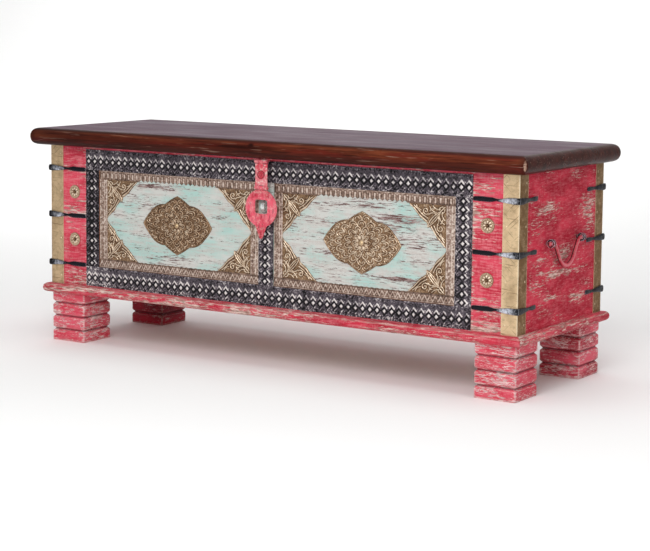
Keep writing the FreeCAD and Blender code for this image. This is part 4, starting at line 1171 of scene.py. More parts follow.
# A strap's stations from its front tip round the corner to its side tip: distance along the arm,
# half height and thickness, in millimetres. Past the brass angle's edge an arm comes down to the wood.
FRONT_STATIONS = ((93.0, 3.0, 1.4), (92.0, 3.8, 2.0), (88.0, 4.4, 2.3), (74.0, 4.5, 2.4), (60.0, 4.5, 2.5),
                  (54.0, 4.0, 2.6), (46.0, 2.2, 2.8), (42.0, 2.2, 3.0), (33.0, 3.4, 3.3), (20.0, 5.1, 3.7),
                  (8.0, 6.1, 3.9))
CORNER_STATION = (0.0, 6.3, 4.0)
SIDE_STATIONS = ((8.0, 6.1, 3.9), (20.0, 4.8, 3.6), (33.0, 3.4, 3.1), (40.0, 2.9, 2.6), (48.0, 3.4, 2.4),
                 (55.0, 4.3, 2.3), (67.0, 4.2, 2.2), (70.0, 3.4, 1.6))
BRASS_EDGE = 33


def strap(corner, way_x, way_y, z, lift, seed):
    """A forged strap bent round a corner; its arms lie on the wood and step over the brass angle."""
    rng = np.random.default_rng(seed)
    rings = []
    stations = [("front",) + s for s in FRONT_STATIONS] + [("corner",) + CORNER_STATION]
    stations += [("side",) + s for s in SIDE_STATIONS]
    for arm, reach, half, thick in stations:
        rise = lift if reach < BRASS_EDGE else max(0.0, lift * (1 - (reach - BRASS_EDGE + 1) / 2))
        half *= 1 + 0.06 * rng.uniform(-1, 1)
        tilt = rng.uniform(-0.35, 0.35)
        outline = rounded_section(half, thick / 2, 20, 2.4)
        up = z + outline[:, 0] + tilt
        out = rise + thick / 2 + outline[:, 1]
        if arm == "front":
            x, y = -reach + 0 * out, -out
        elif arm == "side":
            x, y = out, reach + 0 * out
        else:
            x, y = out * 0.92, -out * 0.92
        rings.append(np.stack([corner[0] + way_x * x, corner[1] + way_y * y, up], -1))
    return loft(rings)


# The lid, the base and the corner angles

# The lid in millimetres: its corners' radius, the room round a hinge's knuckle and over its leaf, the play
# beside a leaf, half the width of a seat's steep edge, and how far down the dulled top goes
LID_CORNER = 7.0
HINGE_ROOM = 4.8
LEAF_ROOM = 2.15
LEAF_PLAY = 0.3
SEAT_EDGE = 0.02
TOP_SKIN = 0.4


def lid_plank(low, high, lid_low, lid_high, corner, seats):
    """One plank of the lid: rounded over at the lid's outer edges, flat at its joints, with hinge seats."""
    nose = (high[2] - low[2]) / 2
    step = nose * (1 - np.cos(np.linspace(0, math.pi / 2, 12)))
    edges = [lid_low[0] + step, np.linspace(lid_low[0] + nose, lid_high[0] - nose, 90), lid_high[0] - step]
    edges += [[x - SEAT_EDGE, x + SEAT_EDGE] for seat in seats for x in seat[:2]]
    x_lines = np.unique(np.round(np.concatenate(edges), 3))
    edges = [np.linspace(low[1], high[1], 18)]
    edges += [low[1] + step] if low[1] < lid_low[1] + 1 else []
    edges += [high[1] - step] if high[1] > lid_high[1] - 1 else []
    for _, _, inside, axis in seats:
        edges += [[inside - SEAT_EDGE, inside + SEAT_EDGE], axis + np.linspace(-HINGE_ROOM, HINGE_ROOM, 9)]
    y_lines = np.unique(np.round(np.concatenate(edges), 3))
    x, y = np.meshgrid(x_lines, y_lines, indexing="ij")
    flat = np.stack([x, y], -1)
    middle, half = (lid_low[:2] + lid_high[:2]) / 2, (lid_high[:2] - lid_low[:2]) / 2
    over = np.abs(flat - middle) - (half - corner)
    beyond = np.maximum(over, 0)
    reach = np.linalg.norm(beyond, axis=-1)
    outside = reach + np.minimum(over.max(-1), 0) - corner
    pull = np.maximum(outside, 0) / np.maximum(reach, 1e-9)
    flat = flat - np.sign(flat - middle) * beyond * pull[..., None]
    depth = np.clip(-outside, 0, nose)
    rise = np.maximum(np.sqrt(nose ** 2 - (nose - depth) ** 2), 0.05)
    level = (low[2] + high[2]) / 2
    under = level - rise
    for x0, x1, inside, axis in seats:
        seat = (x > x0) & (x < x1)
        over_leaf = seat & (y > inside) & (y < axis)
        under = np.where(over_leaf, np.maximum(under, low[2] + LEAF_ROOM), under)
        pin = np.sqrt(np.clip(HINGE_ROOM ** 2 - (y - axis) ** 2, 0, None))
        under = np.where(seat & (pin > 0), np.maximum(under, low[2] + pin), under)
    sides = [np.concatenate([flat, z[..., None]], -1).reshape(-1, 3) for z in (level + rise, under)]
    quads, rim = grid_faces(*x.shape)
    after = np.roll(rim, -1)
    walls = np.stack([rim, after, after + x.size, rim + x.size], -1)
    faces = np.concatenate([quads, quads[:, ::-1] + x.size, walls]).tolist()
    # This rub places the lid's painted highlight on the nose's upper front, mostly along the long sides
    crest = np.clip(1 - np.abs(depth - nose * 0.3) / (nose * 0.45), 0, 1)
    crest = np.where(over[..., 1] > over[..., 0], crest, crest * 0.25)
    rub = np.concatenate([crest.ravel(), 0 * crest.ravel()])
    return (np.concatenate(sides), faces), rub


# The legs' grooves as shares of their height, and how deep and half as wide they are in millimetres
LEG_GROOVES = (0.238, 0.515, 0.78)
LEG_GROOVE_DEPTH = 4.5


def leg_post(low, high, seed):
    """A leg: a square post with V grooves round it, soft arrises and hand-cut faces."""
    rng = np.random.default_rng(seed)
    centre, half, height = (low + high) / 2, (high[0] - low[0]) / 2, high[2] - low[2]
    deep = LEG_GROOVE_DEPTH
    stations = [(0.0, 1.0, 0.4), (1.2, 0.0, 1.0)]
    for share in LEG_GROOVES:
        z = height * share
        for way in (-1, 1):
            stations += [(z + way * (deep + 1.6), 0.0, 0.45), (z + way * deep, 0.45, 0.9),
                         (z + way * (deep - 1.6), 1.9, -0.25), (z + way * 0.25, deep - 0.1, -0.8)]
    cuts = [0.0] + [height * share for share in LEG_GROOVES] + [height]
    for a, b in zip(cuts[:-1], cuts[1:]):
        stations += [(z, 0.0, 0.15) for z in np.linspace(a + deep + 4, b - deep - 4, 4)]
    stations += [(height, 0.0, 0.2)]
    rings, rub = [], []
    dents = np.cumsum(rng.uniform(-0.08, 0.08, (400, 72)), axis=0)
    for k, (z, inset, wear) in enumerate(sorted(stations)):
        outline = rounded_square(half - inset, 2.2)
        soft = 0.12 + 0.1 * np.sin(np.arange(len(outline)) * 0.37 + seed) + 0.1 * dents[k, :len(outline)]
        outline = outline * (1 - np.clip(soft, 0, 0.5) / half)[:, None]
        rings.append(level_ring(centre[:2] + outline, low[2] + z))
        arris = np.clip((np.abs(outline).min(1) - half + 7) / 6, 0, 1)
        rub.append(np.maximum(wear, arris) if wear > 0 else np.full(len(outline), wear))
    return loft(rings), np.concatenate(rub)


def base_moulding(start, stop, inward, width, low_z, high_z):
    """One mitred moulding of the base frame, rounded over along its outer edge."""
    start, stop, inward = (np.asarray(v, float) for v in (start, stop, inward))
    nose = (high_z - low_z) / 2
    turn = np.linspace(math.pi / 2, -math.pi / 2, 15)
    offset = np.concatenate([nose * (1 - np.cos(turn)), [width, width]])
    up = np.concatenate([nose * np.sin(turn), [-nose, nose]])
    wear = np.concatenate([ridge(turn, 0.75, 0.7), [0, 0]])
    along = (stop - start) / np.linalg.norm(stop - start)
    mitre = np.maximum(offset, 1.2)
    a, b = (p + way * mitre[:, None] * along for p, way in ((start, 1), (stop, -1)))
    rings = []
    for share in np.linspace(0, 1, 61):
        flat = a * (1 - share) + b * share + offset[:, None] * inward
        rings.append(np.column_stack([flat, (low_z + high_z) / 2 + up]))
    return loft(rings), np.tile(wear, len(rings))


def angle_sheet(low, high, way_x, way_y, thick):
    """A brass angle bent round a corner: two thin legs and a rounded outer arris."""
    leg_x, leg_y = high[0] - low[0], high[1] - low[1]
    bend = 1.1
    turn = np.linspace(0, math.pi / 2, 6)
    arris = [(bend * (1 - math.sin(t)), bend * (1 - math.cos(t))) for t in turn][::-1]
    outline = [(leg_x, 0.0)] + [(x, 0.0) for x in np.linspace(leg_x * 0.8, 4, 6)] + arris
    outline += [(0.0, y) for y in np.linspace(4, leg_y * 0.8, 6)]
    outline = np.array(outline + [(0.0, leg_y), (thick, leg_y), (thick, thick), (leg_x, thick)])
    corner = np.array([high[0] if way_x > 0 else low[0], low[1] if way_y > 0 else high[1]])
    around = corner + outline * (-way_x, way_y)
    return loft([level_ring(around, z) for z in np.linspace(low[2], high[2], 31)])


# Operators

class TRUNK_OT_lid(bpy.types.Operator):
    """Shapes the lid's planks and lacquers them"""
    bl_idname = "trunk.lid"
    bl_label = "Lid"

    def execute(self, context):
        nodes = ("lid_front_plank", "lid_middle_plank", "lid_rear_plank")
        boxes = [box_mm(node) for node in nodes]
        lid_low, lid_high = np.min([b[0] for b in boxes], axis=0), np.max([b[1] for b in boxes], axis=0)
        pins_low, pins_high = box_mm("hinge_pins")
        axis = ((pins_low + pins_high) / 2)[1]
        seats = [(low[0] - LEAF_PLAY, high[0] + LEAF_PLAY, low[1], axis)
                 for low, high in solid_boxes("hinge_body_leaves", 2)]
        for i, (node, (low, high)) in enumerate(zip(nodes, boxes)):
            seed = 3.0 + 4.0 * i
            rear = node == "lid_rear_plank"
            shell, rub = lid_plank(low, high, lid_low, lid_high, LID_CORNER, seats if rear else [])
            nose = lacquered_lid(f"Sheesham, polished nose {i + 1}", seed, False)
            piece = make_piece("shaped_" + node, [shell], nose, "lid", [node], rub, WOOD_ARRIS)
            piece.data.materials.append(lacquered_lid(f"Sheesham, dulled top {i + 1}", seed, True))
            for face in piece.data.polygons:
                face.material_index = int(face.center.z > (high[2] - TOP_SKIN) * MM)
        return {"FINISHED"}


# Worn places of the paint: centres and half sizes in millimetres, and weights
FRONT_WEAR = (((480, -165, 388), (30, 12, 8), 0.2), ((478, -165, 128), (42, 12, 5), 0.3),
              ((478, -165, 180), (34, 12, 9), 0.14), ((-490, -165, 150), (44, 12, 26), 0.14),
              ((490, -165, 262), (34, 12, 6), 0.12), ((-452, -165, 270), (11, 12, 170), 0.16),
              ((455, -165, 260), (11, 12, 170), 0.16))
END_WEAR = (((550, 20, 217), (30, 105, 14), 0.22), ((550, 10, 262), (30, 46, 26), 0.14),
            ((550, 122, 330), (30, 46, 50), 0.12), ((550, -58, 345), (30, 60, 16), 0.16),
            ((550, -20, 175), (30, 60, 10), 0.14), ((550, 100, 160), (30, 60, 20), 0.12))
LEFT_PANEL_WEAR = (((-270, -163, 342), (110, 30, 9), 0.2), ((-320, -163, 318), (60, 30, 7), 0.16),
                   ((-230, -163, 200), (120, 30, 9), 0.2), ((-300, -163, 212), (60, 30, 7), 0.16),
                   ((-110, -163, 246), (60, 30, 10), 0.18), ((-130, -163, 290), (50, 30, 6), 0.12))
RIGHT_PANEL_WEAR = (((180, -163, 336), (110, 30, 9), 0.22), ((300, -163, 318), (90, 30, 11), 0.26),
                    ((290, -163, 204), (90, 30, 8), 0.2), ((330, -163, 265), (40, 30, 7), 0.14),
                    ((150, -163, 300), (40, 30, 6), 0.14))
# The end and back boards: label, grain, seed, where the paint stops, node and worn places
BOARDS = (("right end", "y", 5.0, ("X", 549.8, 549.4), "right_end_boards", END_WEAR),
          ("left end", "y", 11.0, ("X", -549.8, -549.4), "left_end_boards", ()),
          ("back", "x", 17.0, ("Y", 184.8, 184.4), "back_boards", ()))


class TRUNK_OT_carcass(bpy.types.Operator):
    """Paints the front frame, the ends and the back"""
    bl_idname = "trunk.carcass"
    bl_label = "Carcass"

    def execute(self, context):
        front = red_paint("Red milk paint, front frame", "x", 2.0, 0.97, ("front_red", "front_pink"),
                          chalk=0.9, edges=0.5, places=FRONT_WEAR, inside=("Y", -164.8, -164.4))
        dress(front, "front_left_stile", "front_right_stile", "front_top_rail", "front_bottom_rail")
        for label, axis, seed, inside, node, places in BOARDS:
            paint = red_paint("Red milk paint, " + label, axis, seed, 0.985, chalk=0.44, fine_mm=(15, 2.8),
                              fleck_mm=(14, 2.4), edges=0.5, places=places, inside=inside, shine=0.05)
            dress(paint, node)
        return {"FINISHED"}


class TRUNK_OT_panels(bpy.types.Operator):
    """Paints the mint panels and the mullion"""
    bl_idname = "trunk.panels"
    bl_label = "Panels"

    def execute(self, context):
        left = mint_paint("Mint milk paint, left panel", 4.5, 1.40, LEFT_PANEL_WEAR)
        right = mint_paint("Mint milk paint, right panel", 9.0, 1.37, RIGHT_PANEL_WEAR)
        dress(left, "front_left_panel")
        dress(right, "front_right_panel", "front_mullion")
        return {"FINISHED"}


# The legs' paints: label, nodes, paints, rub marks, woods, seed, and the level above which wood shows. The
# rear legs are painted darker as painted shade, the left one most.
LEG_PAINTS = (
    ("front legs", ("front_left_leg", "front_right_leg"), ("red_bright", "leg_pink"), "red_chalk_and_highlight",
     ("leg_pale", "leg_grey"), 31.0, 1.13),
    ("rear left leg", ("rear_left_leg",), ("handle_red", "red_deep"), "red_deep", ("leg_grey", "bare_grey"),
     39.0, 1.2),
    ("rear right leg", ("rear_right_leg",), ("red_deep", "leg_pink"), "red_chalk_and_highlight", ("leg_pale", "leg_grey"),
     35.0, 1.14))
LEG_WEAR = dict(chalk=0.6, fleck_mm=(10, 2.2), streak_mm=(38, 4.0), patch_mm=(60, 22), edges=0.8,
                handled=True, broken=1.2)


class TRUNK_OT_base(bpy.types.Operator):
    """Shapes the base mouldings and the legs and paints them"""
    bl_idname = "trunk.base"
    bl_label = "Base and legs"

    def execute(self, context):
        wear = dict(streak_mm=(110, 5.0), edges=0.7, handled=True)
        along_x = red_paint("Red milk paint, long mouldings", "x", 23.0, 0.92, chalk=0.7, **wear)
        along_y = red_paint("Red milk paint, end mouldings", "y", 29.0, 0.93, chalk=0.6, **wear)
        low, front_high = box_mm("base_front_moulding")
        left, right = box_mm("base_left_moulding")[0][0], box_mm("base_right_moulding")[1][0]
        front, back = low[1], box_mm("base_back_moulding")[1][1]
        width = front_high[1] - low[1]
        corners = ((left, front), (right, front), (right, back), (left, back))
        sides = (("front", 0, 1, (0, 1), along_x), ("right", 1, 2, (-1, 0), along_y),
                 ("back", 2, 3, (0, -1), along_x), ("left", 3, 0, (1, 0), along_y))
        for side, a, b, inward, paint in sides:
            shell, rub = base_moulding(corners[a], corners[b], inward, width, low[2], front_high[2])
            node = f"base_{side}_moulding"
            make_piece("shaped_" + node, [shell], paint, CARCASS, [node], rub, WOOD_ARRIS)
        seed = SEEDS["legs"]
        for label, nodes, paints, marks, woods, paint_seed, bare in LEG_PAINTS:
            paint = red_paint("Red milk paint, " + label, "level", paint_seed, bare, paints, woods, marks,
                              **LEG_WEAR)
            for node in nodes:
                shell, rub = leg_post(*box_mm(node), seed)
                make_piece("shaped_" + node, [shell], paint, CARCASS, [node], rub, WOOD_ARRIS)
                seed += 1
        return {"FINISHED"}


# How far each strip is rubbed grey, the left and the right one last, and where the bottom strip's two
# pieces lap, in millimetres from its left end
BORDER_GREYS = (("border_top", 0.06), ("border_bottom", 0.06), ("border_centre", 0.04))
BORDER_SIDE_GREYS = (-0.12, 0.06)
BORDER_LAP = 57.0


class TRUNK_OT_borders(bpy.types.Operator):
    """Stamps the black strips round and between the panels"""
    bl_idname = "trunk.borders"
    bl_label = "Black borders"

    def execute(self, context):
        sheet = once(BLACK_TIN, embossed_metal)
        for i, (node, grey) in enumerate(BORDER_GREYS):
            low, high = box_mm(node)
            joint = low[0] + BORDER_LAP if node == "border_bottom" else None
            strip = border_strip(low, high, node == "border_centre", SEEDS["borders"] + i, grey, joint)
            make_sheets("embossed_" + node, [strip], sheet, node)
        strips = [border_strip(low, high, True, SEEDS["border sides"] + i, BORDER_SIDE_GREYS[i])
                  for i, (low, high) in enumerate(solid_boxes("border_sides", 2))]
        make_sheets("embossed_border_sides", strips, sheet, "border_sides")
        return {"FINISHED"}


class TRUNK_OT_edging(bpy.types.Operator):
    """Stamps the brass edging round each panel"""
    bl_idname = "trunk.edging"
    bl_label = "Panel edging"

    def execute(self, context):
        brass = once(PALE_BRASS, embossed_metal)
        for index, side in enumerate(("left", "right")):
            node = side + "_panel_edging"
            strips = []
            low, high = box_mm(node)
            open_low, open_high = box_mm(side + "_panel_spandrels")
            seed = SEEDS["edging"] + 10 * index
            for start, stop in ((low[2], open_low[2]), (open_high[2], high[2])):
                rail = (np.array([low[0], low[1], start]), np.array([high[0], high[1], stop]))
                strips.append(edging_rail(*rail, start == low[2], seed))
            for start, stop in ((low[0], open_low[0]), (open_high[0], high[0])):
                post = (np.array([start, low[1], open_low[2]]), np.array([stop, high[1], open_high[2]]))
                strips.append(edging_side(*post, seed + 1 + round(start - low[0])))
            make_sheets("embossed_" + node, strips, brass, node)
        return {"FINISHED"}


class TRUNK_OT_spandrels(bpy.types.Operator):
    """Embosses the ornaments in the panels' corners"""
    bl_idname = "trunk.spandrels"
    bl_label = "Spandrels"

    def execute(self, context):
        brass = once(ANTIQUE_BRASS, embossed_metal)
        lines = spandrel_lines()
        for index, side in enumerate(("left", "right")):
            node = side + "_panel_spandrels"
            low, high = box_mm(node)
            middle = (low + high) / 2
            ornaments = []
            for i, (a, b) in enumerate(solid_boxes(node, 4)):
                ways = [1 if b[k] < middle[k] else -1 for k in (0, 2)]
                corner = [(a if way > 0 else b)[k] for k, way in zip((0, 2), ways)]
                seed = SEEDS["spandrels"] + 10 * index + i
                ornaments.append(spandrel(corner, ways, b[0] - a[0], b[1], b[1] - a[1], lines, seed))
            make_sheets("embossed_" + node, ornaments, brass, node)
        return {"FINISHED"}


# What each medallion adds to the rub that both share
MEDALLION_WASHES = (("left_medallion", -0.1), ("right_medallion", 0.04))


class TRUNK_OT_medallions(bpy.types.Operator):
    """Embosses the medallions and the stile rosettes"""
    bl_idname = "trunk.medallions"
    bl_label = "Medallions and rosettes"

    def execute(self, context):
        brass = once(ANTIQUE_BRASS, embossed_metal)
        lines = medallion_lines()
        for i, (node, wash) in enumerate(MEDALLION_WASHES):
            low, high = box_mm(node)
            centre = ((low[0] + high[0]) / 2, (low[2] + high[2]) / 2)
            half_w, half_h = (high[0] - low[0]) / 2, (high[2] - low[2]) / 2
            sheet = medallion(centre, half_w, half_h, high[1], high[1] - low[1], lines, wash,
                              SEEDS["medallions"] + i)
            make_sheets("embossed_" + node, [sheet], brass, node)
        flowers = []
        for low, high in solid_boxes("stile_rosettes", 4):
            centre = ((low[0] + high[0]) / 2, (low[2] + high[2]) / 2)
            radius, thickness = (high[0] - low[0]) / 2, high[1] - low[1]
            flowers.append(rosette(centre, radius, high[1], thickness, boss_share=0.14))
        make_sheets("embossed_rosettes", flowers, brass, "stile_rosettes")
        return {"FINISHED"}


# The brass angles' thickness, and how far the straps stand off the wood to clear it, in millimetres
ANGLE_THICK = 1.2
STRAP_LIFT = 1.25


class TRUNK_OT_corners(bpy.types.Operator):
    """Finishes the brass angles and forges the straps over them"""
    bl_idname = "trunk.corners"
    bl_label = "Corner metalwork"

    def execute(self, context):
        brass = once("Sheet brass, rubbed", sheet_brass)
        iron = once(FORGED_IRON, forged_iron)
        dress(brass, "brass_nails")
        low, high = box_mm("front_right_stile")
        back_y = box_mm("back_boards")[1][1]
        for side, way_x in (("left", -1), ("right", 1)):
            for end, way_y, y in (("front", 1, low[1]), ("rear", -1, back_y)):
                node = f"{end}_{side}_straps"
                corner = (way_x * high[0], y)
                seed = SEEDS["straps"] + (3 if way_x > 0 else 0) + (6 if way_y < 0 else 0)
                straps = [strap(corner, way_x, way_y, (a[2] + b[2]) / 2, STRAP_LIFT, seed + i)
                          for i, (a, b) in enumerate(solid_boxes(node, 3))]
                make_piece("forged_" + node, straps, iron, CARCASS, [node])
                node = f"{end}_{side}_corner_angle"
                sheet = angle_sheet(*box_mm(node), way_x, way_y, ANGLE_THICK)
                make_piece("bent_" + node, [sheet], brass, CARCASS, [node])
        return {"FINISHED"}


# The hasp in millimetres: its knuckles' radius and the play beside them, half its plates' thickness, from
# a pin to the plate's shoulder, and how far the tongue runs down into the leaf. Then the strap's waist.
KNUCKLE = 4.0
KNUCKLE_PLAY = 0.15
HALF_PLATE = 1.5
SHOULDER = 4.8
TONGUE = 6.0
STRAP_WAIST = -0.04


class TRUNK_OT_hasp(bpy.types.Operator):
    """Forges the hasp's strap and leaf and finishes its bracket and staple"""
    bl_idname = "trunk.hasp"
    bl_label = "Hasp"

    def execute(self, context):
        paint = once(HASP_STRAP_IRON, painted_iron)
        dress(paint, "hasp_bracket", "hasp_bracket_pin", "hasp_leaf_pin")
        dress(once("Steel, zinc plated", plated_steel), "hasp_staple")
        low, high = box_mm("hasp_strap")
        y, top_z, pin_z = (low[1] + high[1]) / 2, high[2] - KNUCKLE, low[2] + KNUCKLE
        half, inner = high[0], high[0] / 3
        faces = (y - HALF_PLATE, y + HALF_PLATE)
        middle = (-inner + KNUCKLE_PLAY, inner - KNUCKLE_PLAY)
        shells = [slab(-half, half, *faces, pin_z + SHOULDER, top_z - SHOULDER, STRAP_WAIST),
                  slab(*middle, *faces, top_z - SHOULDER - 1, top_z),
                  barrel(*middle, y, top_z, KNUCKLE)]
        for ends in ((-half, -inner - KNUCKLE_PLAY), (inner + KNUCKLE_PLAY, half)):
            shells += [slab(*ends, *faces, pin_z, pin_z + SHOULDER + 1), barrel(*ends, y, pin_z, KNUCKLE)]
        make_piece("forged_hasp_strap", shells, paint, "hasp_strap_link", ["hasp_strap"])
        a, b = box_mm("hasp_rosette")
        nail, _ = rosette((0.0, (a[2] + b[2]) / 2), (b[2] - a[2]) / 2, b[1], b[1] - a[1], petals=6)
        make_piece("forged_hasp_rosette", [nail], once(HASP_NAIL_IRON, painted_iron), "hasp_strap_link",
                   ["hasp_rosette"])
        shells = [self.leaf(y, pin_z), slab(*middle, *faces, pin_z - TONGUE, pin_z),
                  barrel(*middle, y, pin_z, KNUCKLE)]
        make_piece("forged_hasp_leaf", shells, once(HASP_LEAF_IRON, painted_iron), "hasp_leaf_link",
                   ["hasp_leaf"])
        return {"FINISHED"}

    def leaf(self, y, pin_z):
        """A round plate with a tail and a slot: loops from its outer edge in to the slot and back."""
        slot_z, disc_z, radius = pin_z - 37.0, pin_z - 39.8, 37.0
        tail_half, tip_half, tip_z, neck_half, neck_z = 13.0, 2.5, pin_z - 99.5, 14.5, pin_z - SHOULDER
        turns = 180
        angle = full_turn(turns)
        ray = np.stack([np.sin(angle), np.cos(angle)], -1)
        start = np.array([0.0, slot_z])
        to_disc = start - (0.0, disc_z)
        reach = -(ray @ to_disc) + np.sqrt((ray @ to_disc) ** 2 - to_disc @ to_disc + radius ** 2)
        outer = start + ray * reach[:, None]
        root_z = disc_z - math.sqrt(radius ** 2 - tail_half ** 2)
        tail = [(tail_half, root_z), (tip_half, tip_z), (0.0, tip_z)]
        tail = np.array(tail + [(-x, z) for x, z in tail[-2::-1]]) - start
        tail_angle = np.unwrap(np.arctan2(tail[:, 0], tail[:, 1]) % (2 * math.pi))
        low = (angle > tail_angle.min()) & (angle < tail_angle.max())
        order = np.argsort(tail_angle)
        for axis in (0, 1):
            outer[low, axis] = start[axis] + np.interp(angle[low], tail_angle[order], tail[order, axis])
        spread = np.abs(ray[:, 0] / np.maximum(ray[:, 1], 1e-6))
        up = (ray[:, 1] > 0) & (spread < neck_half / (neck_z - slot_z))
        outer[up] = start + ray[up] * ((neck_z - slot_z) / ray[up, 1])[:, None]
        slot = start + rounded_section(13.5, 14.5, turns, 7.0)[:, ::-1]
        slot_angle = np.arctan2(slot[:, 0] - start[0], slot[:, 1] - start[1]) % (2 * math.pi)
        order = np.argsort(slot_angle)
        slot = np.stack([np.interp(angle, slot_angle[order], slot[order, k], period=2 * math.pi)
                         for k in (0, 1)], -1)

        def loop(outline, inset, depth):
            away = outline - start
            size = np.linalg.norm(away, axis=1)[:, None]
            flat = start + away * (1 - inset / size)
            return np.stack([flat[:, 0], np.full(turns, depth), flat[:, 1]], -1)

        front, back, soft = y - HALF_PLATE, y + HALF_PLATE, 0.8
        loops = [loop(outer, soft, back), loop(outer, 0, back - soft), loop(outer, 0, front + soft),
                 loop(outer, soft, front), loop(slot, -soft, front), loop(slot, 0, front + soft),
                 loop(slot, 0, back - soft), loop(slot, -soft, back)]
        index = np.arange(len(loops) * turns).reshape(len(loops), turns)
        return np.concatenate(loops), ring_faces(np.concatenate([index, index[:1]]))


# A bail in millimetres: how far in from its tips it bends down, the bend's radius, and how many times
# steeper than a straight line to its lowest point it leaves the bend
BAIL_TIP = 17.0
BAIL_BEND = 12.0
BAIL_STEEP = 1.42


class TRUNK_OT_handles(bpy.types.Operator):
    """Forges the drop handles and finishes their eyes"""
    bl_idname = "trunk.handles"
    bl_label = "Handles"

    def execute(self, context):
        dress(once(EYE_IRON, painted_iron), "left_handle_eyes", "right_handle_eyes")
        for side, way in (("left", -1), ("right", 1)):
            node = side + "_handle_bail"
            low, high = box_mm(node)
            eyes_low, eyes_high = box_mm(side + "_handle_eyes")
            x, middle = (low[0] + high[0]) / 2, (low[1] + high[1]) / 2
            top = (eyes_low[2] + eyes_high[2]) / 2
            radius = (high[0] - low[0]) / 2
            path, radii = self.bail_path(high[1] - middle, top - low[2] - radius, radius)
            points = np.stack([np.full(len(path), x), middle + path[:, 0], top + path[:, 1]], -1)
            shell = tube(points, radii, (1, 0, 0))
            # A bail's rub places painted light: pale on its outer side, dark on the side that faces the
            # trunk
            outward = (shell[0][:, 0] - x) / radius * way
            make_piece("forged_" + node, [shell], once(BAIL_IRON, painted_iron), side + "_bail",
                       [node], 0.5 + 0.5 * outward)
        return {"FINISHED"}

    def bail_path(self, outer, drop, radius):
        """The bail's line: straight through each eye, bent down to a bow, thicker in the middle."""
        bend_start, bend = outer - BAIL_TIP, BAIL_BEND
        slope = math.atan2(drop, bend_start) * BAIL_STEEP
        across, down = bend_start - bend * math.sin(slope), drop - bend * (1 - math.cos(slope))
        bow_radius = (across * math.tan(slope) - down) / (1 / math.cos(slope) - 1)
        half = [np.stack([np.linspace(outer, bend_start, 8), np.zeros(8)], -1)]
        turn = np.linspace(0, slope, 10)[1:]
        half.append(np.stack([bend_start - bend * np.sin(turn), -bend * (1 - np.cos(turn))], -1))
        turn = np.linspace(slope, 0, 16)
        half.append(np.stack([bow_radius * np.sin(turn), -drop + bow_radius * (1 - np.cos(turn))], -1))
        half = np.concatenate(half)
        path = np.concatenate([half, (half * (-1, 1))[-2::-1]])
        reach = np.abs(path[:, 0]) / outer
        return path, radius * np.where(reach > 0.75, 0.97, 0.86 + 0.14 * np.cos(reach * math.pi / 1.5) ** 2)


class TRUNK_OT_inside(bpy.types.Operator):
    """Finishes the bare boards inside, the hinges and the screws"""
    bl_idname = "trunk.inside"
    bl_label = "Inside, hinges and screws"

    def execute(self, context):
        dress(once("Mango wood, sawn", sawn_boards), "bottom_boards", "lid_battens")
        dress(once(FORGED_IRON, forged_iron), "hinge_body_leaves", "hinge_lid_leaves", "hinge_pins")
        dress(once("Steel, dull", screw_steel), "leg_screws", "hinge_body_screws", "lid_screws")
        return {"FINISHED"}


# The studio paper in metres: half its width, where it starts and bends up, the bend's radius and its top
PAPER_HALF = 14.0
PAPER_FRONT = -9.0
PAPER_BEND = 3.0
PAPER_RADIUS = 2.5
PAPER_TOP = 9.0
# Each softbox's place, target and width in metres, and the property that holds its power
SOFTBOXES = (("Key softbox", (1.0, -2.6, 1.9), (0.0, 0.0, 0.25), 1.6, "key_power"),
             ("Fill softbox", (3.2, -0.6, 1.6), (0.3, 0.0, 0.25), 1.6, "fill_power"),
             ("Top softbox", (0.0, -0.4, 4.5), (0.0, -0.4, 0.0), 3.0, "top_power"),
             ("Wall softbox", (-3.0, 2.6, 3.4), (-3.6, 5.0, 0.4), 4.0, "wall_power"))
SENSOR_MM = 36.0
FAR_CLIP = 100.0


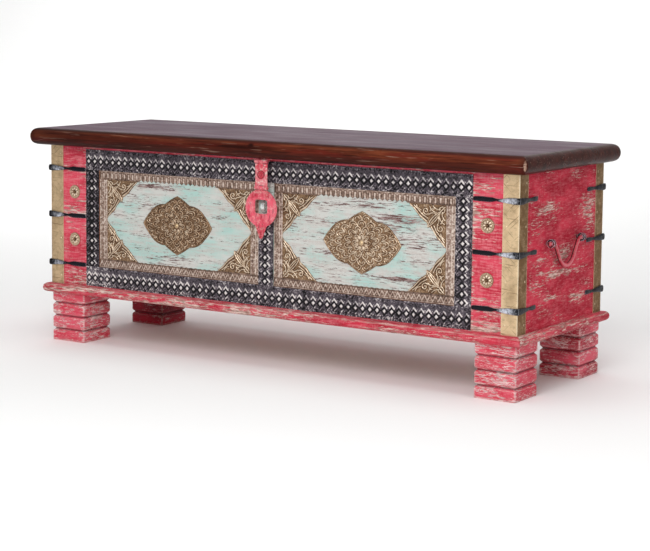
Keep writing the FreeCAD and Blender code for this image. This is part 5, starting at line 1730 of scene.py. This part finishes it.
class TRUNK_OT_stage(bpy.types.Operator):
    """Lays the pale floor, hangs the soft lights and sets the camera"""
    bl_idname = "trunk.stage"
    bl_label = "Studio"

    def execute(self, context):
        studio = context.scene.trunk_studio
        self.backdrop()
        for name, place, target, size, power in SOFTBOXES:
            self.light(name, place, target, size, getattr(studio, power))
        world = bpy.data.worlds.new("White surround")
        world.use_nodes = True
        surround = world.node_tree.nodes["Background"].inputs
        surround["Color"].default_value = (1.0, 1.0, 1.0, 1.0)
        surround["Strength"].default_value = studio.world_strength
        context.scene.world = world
        camera = bpy.data.cameras.new("Camera")
        camera.lens = studio.lens
        camera.shift_x, camera.shift_y = studio.camera_shift
        camera.sensor_width = SENSOR_MM
        camera.clip_end = FAR_CLIP
        holder = bpy.data.objects.new("Camera", camera)
        holder.location = studio.camera_place
        holder.rotation_euler = Euler(studio.camera_turn)
        context.scene.collection.objects.link(holder)
        context.scene.camera = holder
        context.scene.view_settings.view_transform = "Standard"
        return {"FINISHED"}

    def backdrop(self):
        """A floor that curves up into a wall behind the trunk."""
        material, tree = new_material("Studio paper, pale")
        cloud = blots(tree, (900, 900, 900), 2.0, 0.5, 1.0)
        rough = between(tree, cloud, 0.85, 0.95)
        bright = linear("#FCFCFB")
        shade = mixed(tree, cloud, colours().floor, bright)
        finish_material(material, {"Base Color": shade, "Roughness": rough, "Specular IOR Level": 0.1})
        profile = [(PAPER_FRONT, 0.0), (PAPER_BEND, 0.0)]
        profile += [(PAPER_BEND + PAPER_RADIUS * math.sin(t), PAPER_RADIUS * (1 - math.cos(t)))
                    for t in np.linspace(0.1, math.pi / 2, 14)]
        profile.append((PAPER_BEND + PAPER_RADIUS, PAPER_TOP))
        points = [(x, y, z) for y, z in profile for x in (-PAPER_HALF, PAPER_HALF)]
        faces = [(2 * i, 2 * i + 1, 2 * i + 3, 2 * i + 2) for i in range(len(profile) - 1)]
        mesh = bpy.data.meshes.new("floor")
        mesh.from_pydata(points, [], faces)
        mesh.shade_smooth()
        mesh.materials.append(material)
        floor = bpy.data.objects.new("floor", mesh)
        bpy.context.scene.collection.objects.link(floor)

    def light(self, name, place, target, size, power):
        """A square softbox that faces its target."""
        lamp = bpy.data.lights.new(name, "AREA")
        lamp.shape = "SQUARE"
        lamp.size = size
        lamp.energy = power
        holder = bpy.data.objects.new(name, lamp)
        holder.location = place
        holder.rotation_euler = (Vector(target) - Vector(place)).to_track_quat("-Z", "Y").to_euler()
        bpy.context.scene.collection.objects.link(holder)


STEPS = (TRUNK_OT_lid, TRUNK_OT_carcass, TRUNK_OT_panels, TRUNK_OT_base, TRUNK_OT_borders, TRUNK_OT_edging,
         TRUNK_OT_spandrels, TRUNK_OT_medallions, TRUNK_OT_corners, TRUNK_OT_hasp, TRUNK_OT_handles,
         TRUNK_OT_inside, TRUNK_OT_stage)


class TRUNK_PT_panel(bpy.types.Panel):
    """Lists the trunk's steps, sizes and colours"""
    bl_idname = "TRUNK_PT_panel"
    bl_label = "Wooden trunk"
    bl_space_type = "VIEW_3D"
    bl_region_type = "UI"
    bl_category = "Trunk"

    def draw(self, context):
        for step in STEPS:
            self.layout.operator(step.bl_idname)
        for group in (context.scene.trunk_sizes, context.scene.trunk_colours, context.scene.trunk_studio):
            box = self.layout.box()
            for name in group.__annotations__:
                box.prop(group, name)


CLASSES = (TrunkColours, TrunkSizes, TrunkStudio) + STEPS + (TRUNK_PT_panel,)


def register():
    for item in CLASSES:
        bpy.utils.register_class(item)
    bpy.types.Scene.trunk_colours = bpy.props.PointerProperty(type=TrunkColours)
    bpy.types.Scene.trunk_sizes = bpy.props.PointerProperty(type=TrunkSizes)
    bpy.types.Scene.trunk_studio = bpy.props.PointerProperty(type=TrunkStudio)


def unregister():
    del bpy.types.Scene.trunk_studio
    del bpy.types.Scene.trunk_sizes
    del bpy.types.Scene.trunk_colours
    for item in reversed(CLASSES):
        bpy.utils.unregister_class(item)


def main():
    register()
    for step in STEPS:
        group, name = step.bl_idname.split(".")
        getattr(getattr(bpy.ops, group), name)()


if __name__ == "__main__":
    main()
